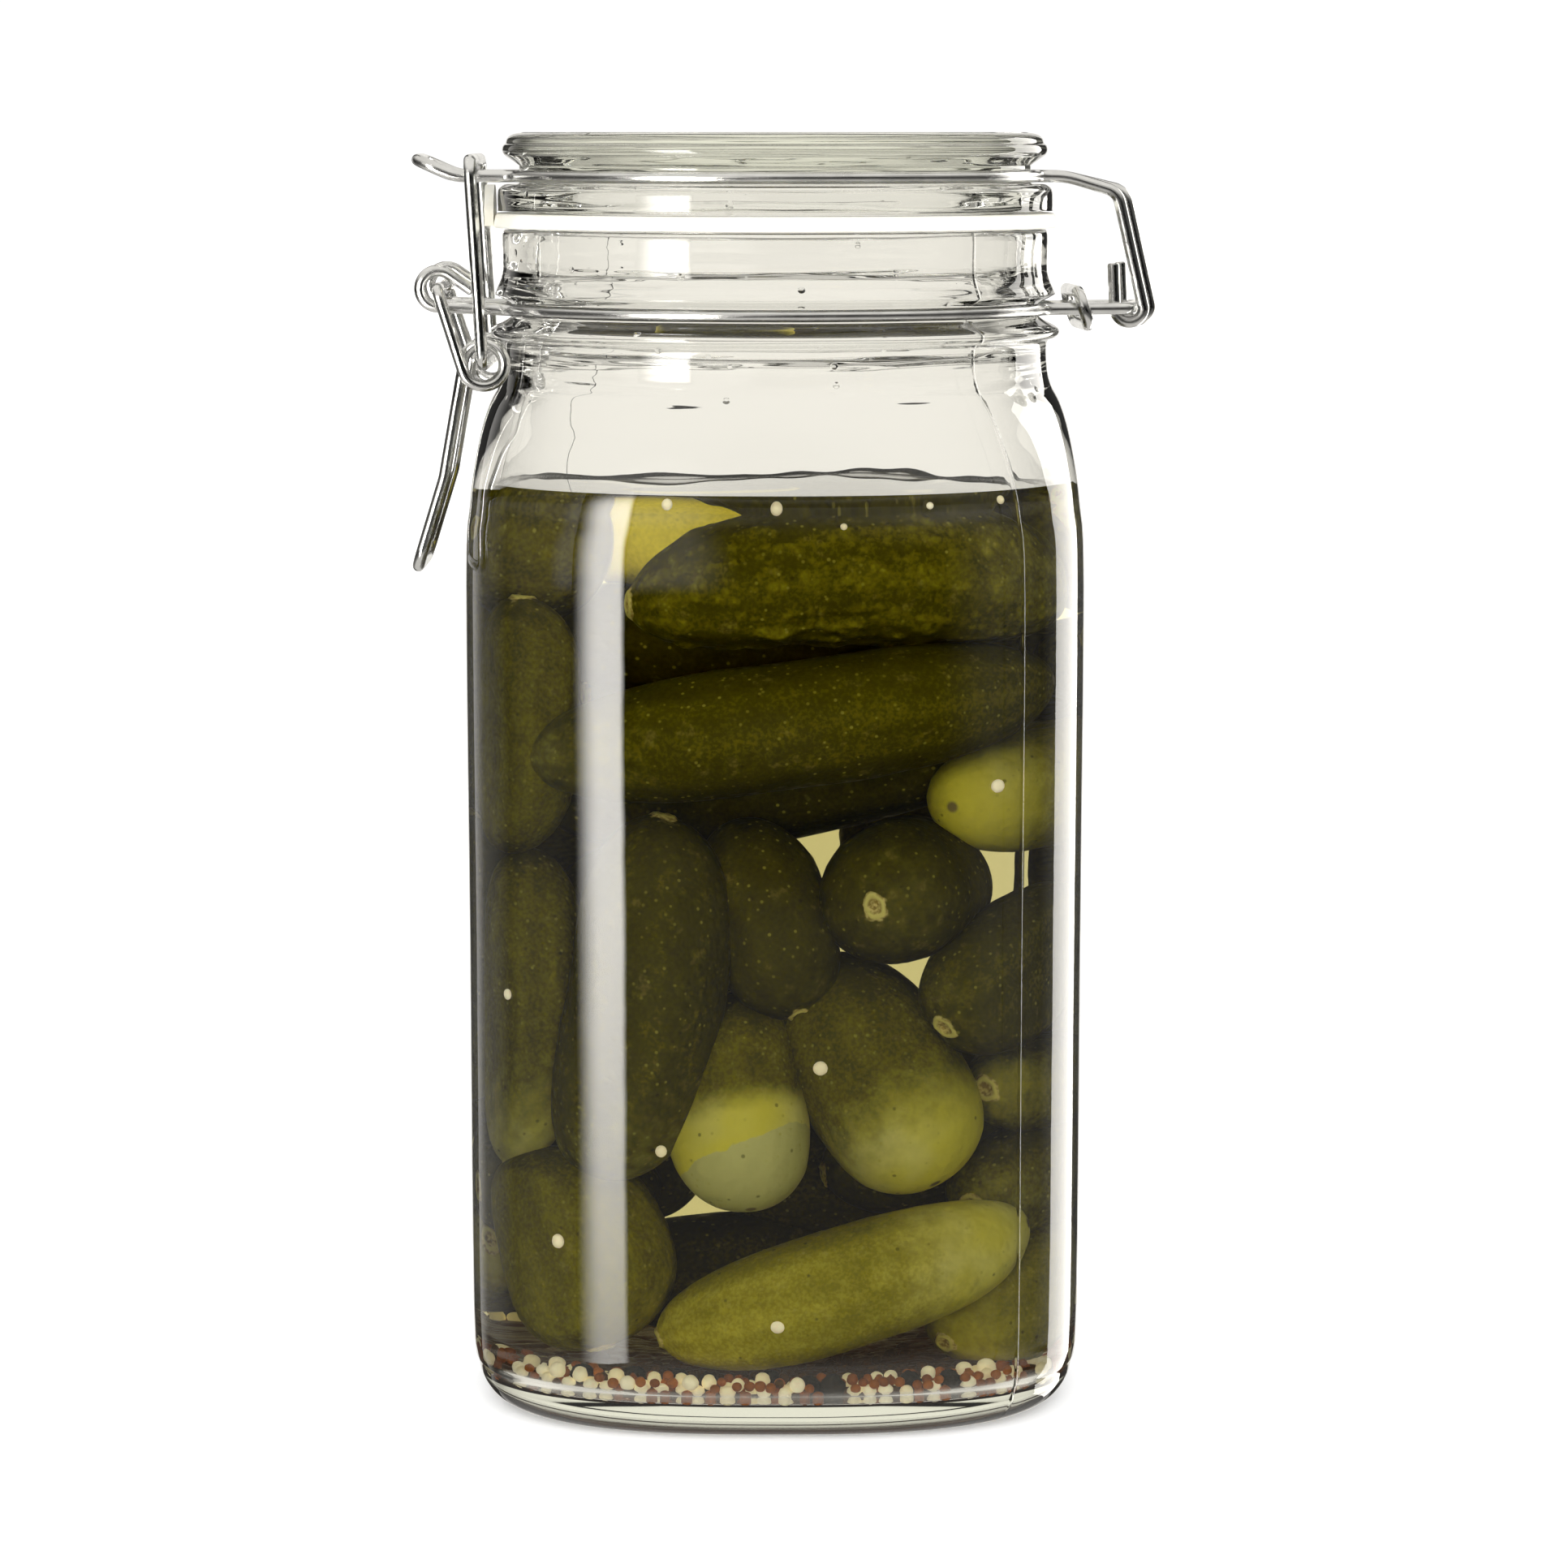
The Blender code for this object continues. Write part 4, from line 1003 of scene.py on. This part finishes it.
def read(tree, name):
    """The socket of a per-vertex number."""
    return add(tree, "Attribute", {}, "Fac", attribute_name=name)


def coordinates(tree, kind="Object"):
    return add(tree, "TexCoord", {}, kind)


def parts_of(vector):
    """The X, Y and Z outputs of a vector."""
    return add(vector.id_data, "SeparateXYZ", {0: vector}).node.outputs


def joined(tree, *parts):
    """A vector from up to three numbers."""
    return add(tree, "CombineXYZ", dict(enumerate(parts)))


def noise(place, scale, detail=3.0, roughness=0.5):
    inputs = {"Vector": place, "Scale": scale, "Detail": detail, "Roughness": roughness}
    return add(place.id_data, "TexNoise", inputs, "Fac")


def cells(place, scale):
    return add(place.id_data, "TexVoronoi", {"Vector": place, "Scale": scale}, "Distance")


def bump(height, strength, distance, before=None):
    inputs = {"Height": height, "Strength": strength, "Distance": distance}
    if before is not None:
        inputs["Normal"] = before
    return add(height.id_data, "Bump", inputs)


def new_material(name):
    """A material with its node tree and its shader, ready for its sockets to be set."""
    made = bpy.data.materials.new(name)
    made.use_nodes = True
    made.cycles.emission_sampling = "NONE"
    return made, made.node_tree, made.node_tree.nodes["Principled BSDF"]


def clear_material(name, ior, tint, density):
    """A clear inside with plain absorption, and its surface still to be set."""
    made, tree, shader = new_material(name)
    feed(shader, {"Base Color": WHITE, "Transmission Weight": 1.0, "IOR": ior, "Roughness": 0.0})
    inside = add(tree, "VolumeAbsorption", {"Color": tint, "Density": density})
    feed(tree.nodes["Material Output"], {"Volume": inside})
    return made, tree, shader


def glass_material(name, ripple, streaks, streaks_from):
    """Pressed glass: faint slow ripples, and level streaks and bubbles above a height."""
    made, tree, shader = clear_material(name, 1.51, GLASS_TINT, GLASS_DENSITY)
    place = coordinates(tree)
    slow = noise(place, 45.0, 2.0, 0.45)
    drawn = add(tree, "Mapping", {"Vector": place, "Scale": (1.0, 1.0, 12.0)})
    share = spread(parts_of(place)["Z"], streaks_from, streaks_from + 0.008, 0.0, streaks)
    marks = times(noise(drawn, 22.0, 2.0, 0.45), share)
    bubbles = times(spread(cells(place, 130.0), 0.10, 0.02), share)
    relief = plus(times(slow, ripple), marks, bubbles)
    rough = spread(slow, 0.62, 0.8, 0.0, 0.03)
    feed(shader, {"Normal": bump(relief, 1.0, 0.004), "Roughness": rough})
    return made


def steel_material():
    """Drawn wire: streaks along its length, and slow blotches."""
    made, tree, shader = new_material("polished_wire")
    streaks = joined(tree, times(read(tree, "along"), 60.0), times(read(tree, "around"), 14.0))
    streaks = noise(streaks, 1.0, 3.0, 0.6)
    blotch = noise(coordinates(tree), 160.0, 3.0, 0.6)
    rough = plus(spread(streaks, 0.3, 0.8, 0.10, 0.22), spread(blotch, 0.5, 0.8, 0.0, 0.1))
    colour = mix_colour(spread(blotch, 0.35, 0.75), (0.80, 0.80, 0.79), (0.66, 0.66, 0.65))
    normal = bump(streaks, 0.25, 0.0001)
    feed(shader, {"Metallic": 1.0, "Base Color": colour, "Roughness": rough, "Normal": normal})
    return made


def rubber_material():
    """Pale rubber, slightly clouded and finely grained."""
    made, tree, shader = new_material("pale_rubber")
    place = coordinates(tree)
    cloud = noise(place, 60.0, 3.0, 0.55)
    specks = noise(place, 900.0, 2.0, 0.6)
    colour = mix_colour(spread(cloud, 0.35, 0.7), (0.90, 0.88, 0.80), (0.82, 0.79, 0.68))
    feed(
        shader,
        {
            "Base Color": colour,
            "Roughness": spread(specks, 0.3, 0.7, 0.42, 0.6),
            "Normal": bump(specks, 0.2, 0.0002),
            "Subsurface Weight": 0.3,
            "Subsurface Radius": (0.004, 0.0035, 0.0025),
        },
    )
    return made


def gherkin_material():
    """Pickled skin, dark green to yellow by tone, with pores, warts, pits, a scar, pale ends,
    painted shade, painted highlights on wart tops and a painted glow on the palest.
    """
    made, tree, shader = new_material("gherkin_skin")
    offset = joined(tree, read(tree, "shift"), read(tree, "shift"))
    place = add(tree, "VectorMath", {0: coordinates(tree), 1: offset}, operation="ADD")
    cloud = noise(place, 55.0, 2.0, 0.55)
    mottle = noise(place, 330.0, 2.0, 0.6)
    grain = noise(place, 1500.0, 1.0, 0.6)
    pores, warts = cells(place, 520.0), cells(place, 400.0)
    tone, warty = read(tree, "tone"), read(tree, "warty")
    # How far each face turns up or down, for painted shade and for where the painted glow reaches.
    steep = size_of(parts_of(add(tree, "NewGeometry", {}, "Normal"))["Z"])
    # Skin of tone 0.8 and over gets a painted glow, and strong painted shade on faces turned up or
    # down.
    lit_through = spread(tone, 0.80, 0.90)
    light = plus(
        tone,
        spread(cloud, 0.25, 0.75, -0.02, 0.02),
        spread(mottle, 0.3, 0.7, -0.02, 0.02),
        spread(noise(place, 16.0, 1.0, 0.5), 0.3, 0.7, -0.035, 0.035),
        # Painted highlight on wart tops and painted shade in the gaps between them, from the wart
        # height and the wart cells.
        spread(read(tree, "rise"), 0.0, 1.4, 0.0, 0.07),
        times(spread(warts, 0.55, 0.10, -0.05, 0.06), warty),
        times(read(tree, "stripe"), 0.03),
        # Painted shade: faces turned up or down are darkened.
        spread(steep, 0.45, 1.0, 0.0, -0.14),
        # Painted shade on the glowing skin's faces turned up or down.
        times(lit_through, spread(steep, 0.15, 0.75, 0.0, -0.55)),
    )
    light = maths("ADD", light, spread(grain, 0.35, 0.65, -0.04, 0.04), use_clamp=True)
    colour = ramp(light, SKIN_COLOURS)
    pale = plus(read(tree, "pale"), spread(mottle, 0.3, 0.7, -0.06, 0.06))
    pale_colour = mix_colour(spread(cloud, 0.4, 0.7), (0.76, 0.67, 0.07), (0.80, 0.73, 0.20))
    colour = mix_colour(spread(pale, 0.12, 1.1, 0.0, 0.88), colour, pale_colour)
    peel = spread(plus(pale, spread(cloud, 0.3, 0.7, -0.35, 0.35)), 1.85, 1.93)
    colour = mix_colour(peel, colour, (0.56, 0.53, 0.17))
    dots = times(spread(pores, 0.20, 0.10), spread(cloud, 0.35, 0.60, 0.12, 0.50))
    colour = mix_colour(dots, colour, (0.42, 0.36, 0.05))
    pits = times(spread(cells(place, 260.0), 0.12, 0.05), 0.55)
    colour = mix_colour(pits, colour, (0.030, 0.024, 0.001))
    scar_colour = mix_colour(spread(grain, 0.35, 0.65), (0.30, 0.21, 0.05), (0.66, 0.53, 0.16))
    scar_colour = mix_colour(spread(read(tree, "rim"), 0.3, 0.9), scar_colour, (0.70, 0.62, 0.16))
    scar = plus(read(tree, "scar"), spread(mottle, 0.3, 0.7, -0.3, 0.3))
    colour = mix_colour(spread(scar, 0.25, 0.55), colour, scar_colour)
    colour = mix_colour(spread(read(tree, "blossom"), 0.2, 0.7), colour, (0.22, 0.17, 0.06))
    relief = bump(times(spread(warts, 0.5, 0.0), warty), 0.8, 0.0006)
    relief = bump(mottle, 0.25, 0.0006, relief)
    # Painted glow: the palest skin emits yellow light, most on faces turned sideways.
    glow = times(times(lit_through, 0.30), spread(steep, 0.15, 0.70, 1.0, 0.0))
    feed(
        shader,
        {
            "Base Color": colour,
            "Roughness": spread(mottle, 0.3, 0.7, 0.32, 0.55),
            "IOR": 1.06,
            "Emission Color": (1.0, 0.82, 0.08),
            "Emission Strength": glow,
            "Normal": bump(pores, 0.35, 0.0003, relief),
        },
    )
    return made


def seed_material(name, first, second, roughness, glow):
    """Seed skin between two colours, with darker blotches, painted shade on seeds in the middle of
    the pile, and a painted glow.
    """
    made, tree, shader = new_material(name)
    blotch = noise(coordinates(tree), 700.0, 3.0, 0.6)
    colour = mix_colour(read(tree, "tone"), first, second)
    dark = tuple(part * 0.7 for part in second)
    colour = mix_colour(spread(blotch, 0.45, 0.75, 0.0, 0.4), colour, dark)
    # Painted shade: marked seeds are darkened to near black.
    colour = mix_colour(times(read(tree, "deep"), 0.85), colour, (0.030, 0.020, 0.002))
    feed(
        shader,
        {
            "Base Color": colour,
            "Roughness": spread(blotch, 0.3, 0.7, roughness - 0.1, roughness + 0.1),
            "Normal": bump(blotch, 0.3, 0.0002),
            # Painted glow: each seed emits its own colour at the given strength.
            "Emission Color": colour,
            "Emission Strength": glow,
            "IOR": 1.10,
        },
    )
    return made


# Studio.


def placed(name, data):
    """An object of the data, in the scene."""
    item = bpy.data.objects.new(name, data)
    bpy.context.scene.collection.objects.link(item)
    return item


def sheet(name, corners, finish):
    """A flat piece of the stage through four corners."""
    mesh = bpy.data.meshes.new(name)
    mesh.from_pydata(corners, [], [(0, 1, 2, 3)])
    mesh.materials.append(finish)
    item = placed(name, mesh)
    item.visible_transmission = False
    return item


def build_camera():
    data = bpy.data.cameras.new("camera")
    data.lens = CAMERA_LENS
    data.sensor_width = CAMERA_SENSOR
    camera = placed("camera", data)
    camera.location = CAMERA_PLACE
    camera.rotation_euler = (CAMERA_PITCH, 0.0, 0.0)
    bpy.context.scene.camera = camera


def build_floor():
    """A plain pale floor, which mirrors and clear things don't show."""
    made, tree, shader = new_material("pale_floor")
    tone = spread(noise(coordinates(tree), 3.0, 2.0), 0.3, 0.7)
    colour = mix_colour(tone, (0.93, 0.93, 0.925), (0.915, 0.915, 0.91))
    feed(shader, {"Base Color": colour, "Roughness": 0.9, "Specular IOR Level": 0.1})
    feed(shader, {"Emission Strength": 0.3})
    signs = ((-1, -1), (1, -1), (1, 1), (-1, 1))
    floor = sheet("floor", [(x * FLOOR_REACH, y * FLOOR_REACH, 0.0) for x, y in signs], made)
    floor.visible_glossy = False


def around(azimuth, distance, height=0.0):
    """A point at a distance from the jar's axis, towards an azimuth in degrees from +X."""
    angle = math.radians(azimuth)
    return (math.cos(angle) * distance, math.sin(angle) * distance, height)


def card(name, start, end, distance, low, high, strength, soft=False):
    """An upright glowing card between two azimuths, that only reflections can see."""
    made, tree, _ = new_material(name)
    tree.nodes.clear()
    if soft:
        place = parts_of(coordinates(tree, "Generated"))
        fade = times(spread(place["X"], 0.0, 0.55), spread(place["X"], 1.0, 0.88))
        fade = times(fade, spread(place["Z"], 0.0, 0.38, 0.42, 1.0))
        strength = times(times(fade, spread(place["Z"], 1.0, 0.84)), strength)
    glow = add(tree, "Emission", {"Color": MIRRORED_TINT, "Strength": strength})
    feed(tree.nodes.new("ShaderNodeOutputMaterial"), {"Surface": glow})
    corners = [(start, low), (end, low), (end, high), (start, high)]
    item = sheet(name, [around(azimuth, distance, height) for azimuth, height in corners], made)
    item.visible_camera = False
    item.visible_diffuse = False
    item.visible_shadow = False


def on_matt(tree):
    """1 for light that has met a matt surface on its way, else 0, and the light path's outputs."""
    path = add(tree, "LightPath", {}).node.outputs
    return maths("MINIMUM", path["Diffuse Depth"], 1.0), path


def build_lights():
    """Two soft lights that only shine on matt things, and the cards that mirrors see."""
    for name, place, size, power in (
        ("top_light", (0.0, -0.1, 1.6), 1.6, 6.0),
        ("front_light", (-0.2, -1.9, 0.50), 1.2, 34.0),
    ):
        data = bpy.data.lights.new(name, "AREA")
        data.shape = "DISK"
        data.size = size
        data.energy = power
        data.use_nodes = True
        feed(data.node_tree.nodes["Emission"], {"Strength": on_matt(data.node_tree)[0]})
        light = placed(name, data)
        light.location = place
        aim = Vector(LIGHT_AIM) - Vector(place)
        light.rotation_euler = aim.to_track_quat("-Z", "Y").to_euler()
        light.visible_glossy = False
    card("strip_left", 214.0, 238.0, 0.34, -0.07, 0.28, 15.5, soft=True)
    card("strip_right", 28.0, 58.0, 0.5, CARDS_LOW, 0.45, 4.2)
    card("edge_right", 58.0, 74.0, 0.6, CARDS_LOW, 0.9, 0.06)
    card("edge_left", 106.0, 122.0, 0.6, CARDS_LOW, 0.9, 0.06)


def build_world():
    """A soft studio, as matt things are lit by it, as mirrors show it and as glass refracts it."""
    world = bpy.data.worlds.new("studio")
    bpy.context.scene.world = world
    world.use_nodes = True
    world.cycles.sampling_method = "NONE"
    tree = world.node_tree
    way = coordinates(tree, "Generated")
    y, z = parts_of(way)["Y"], parts_of(way)["Z"]
    matt, path = on_matt(tree)
    behind = spread(y, 0.30, 0.95)
    above = spread(z, 0.10, 0.70)
    before = spread(y, -0.50, -0.98)
    facing = {0: way, 1: around(KEY_AZIMUTH, 1.0)}
    key = add(tree, "VectorMath", facing, "Value", operation="DOT_PRODUCT")
    key = times(spread(key, 0.80, 0.90), spread(z, -0.05, -0.02))
    beside = spread(size_of(y), 0.75, 0.2, 0.0, 0.22)
    level_beside = times(times(beside, 0.4), spread(z, -0.07, -0.03))
    ground = largest(spread(z, -0.10, -0.17, 0.0, 0.12), spread(z, -0.25, -0.7, 0.0, 0.65))
    refracted = largest(times(behind, 0.97), beside, ground, times(spread(z, 0.02, 0.25), 0.85))
    mirrored = largest(times(spread(y, 0.70, 0.97), 0.95), level_beside, ground)
    mirrored = largest(mirrored, times(above, 0.9), times(key, 0.95))
    lighting = largest(times(before, 1.3), times(above, 0.55), times(behind, 0.6), 0.12)
    strength = refracted
    for share, other in (
        (times(path["Is Glossy Ray"], path["Is Reflection Ray"]), mirrored),
        (matt, lighting),
        (times(path["Is Diffuse Ray"], path["Is Reflection Ray"]), FLOOR_LIGHT),
    ):
        strength = add(tree, "Mix", {0: share, 2: strength, 3: other})
    shade = mix_colour(path["Is Glossy Ray"], WHITE, MIRRORED_TINT)
    shade = mix_colour(path["Is Transmission Ray"], shade, BACKDROP)
    shade = mix_colour(matt, shade, WHITE)
    strength = largest(strength, times(path["Is Camera Ray"], BACKDROP_LIGHT))
    feed(tree.nodes["Background"], {"Color": shade, "Strength": strength})


def main():
    build_camera()
    build_floor()
    build_world()
    build_lights()
    scene = bpy.context.scene
    scene.view_settings.view_transform = "Standard"
    scene.cycles.max_bounces = 12
    scene.cycles.transmission_bounces = 12
    build_jar(glass_material("jar_glass", 0.02, 0.09, 0.171))
    build_lid(glass_material("lid_glass", 0.02, 0.07, 0.190))
    build_gasket(rubber_material())
    build_wires(steel_material())
    build_gherkins(gherkin_material())
    # The last number of each seed material is its painted glow.
    brown = seed_material("brown_mustard", (0.42, 0.130, 0.016), (0.24, 0.065, 0.008), 0.35, 0.10)
    cream = seed_material("cream_mustard", (0.98, 0.90, 0.62), (0.92, 0.80, 0.46), 0.4, 0.25)
    pepper = seed_material("peppercorn", (0.035, 0.026, 0.016), (0.02, 0.014, 0.009), 0.5, 0.0)
    build_bed(brown)
    build_seeds({"brown": brown, "cream": cream, "pepper": pepper})
    build_brine(clear_material("cloudy_brine", 1.34, BRINE_TINT, BRINE_DENSITY)[0])


main()
bpy.context.view_layer.update()
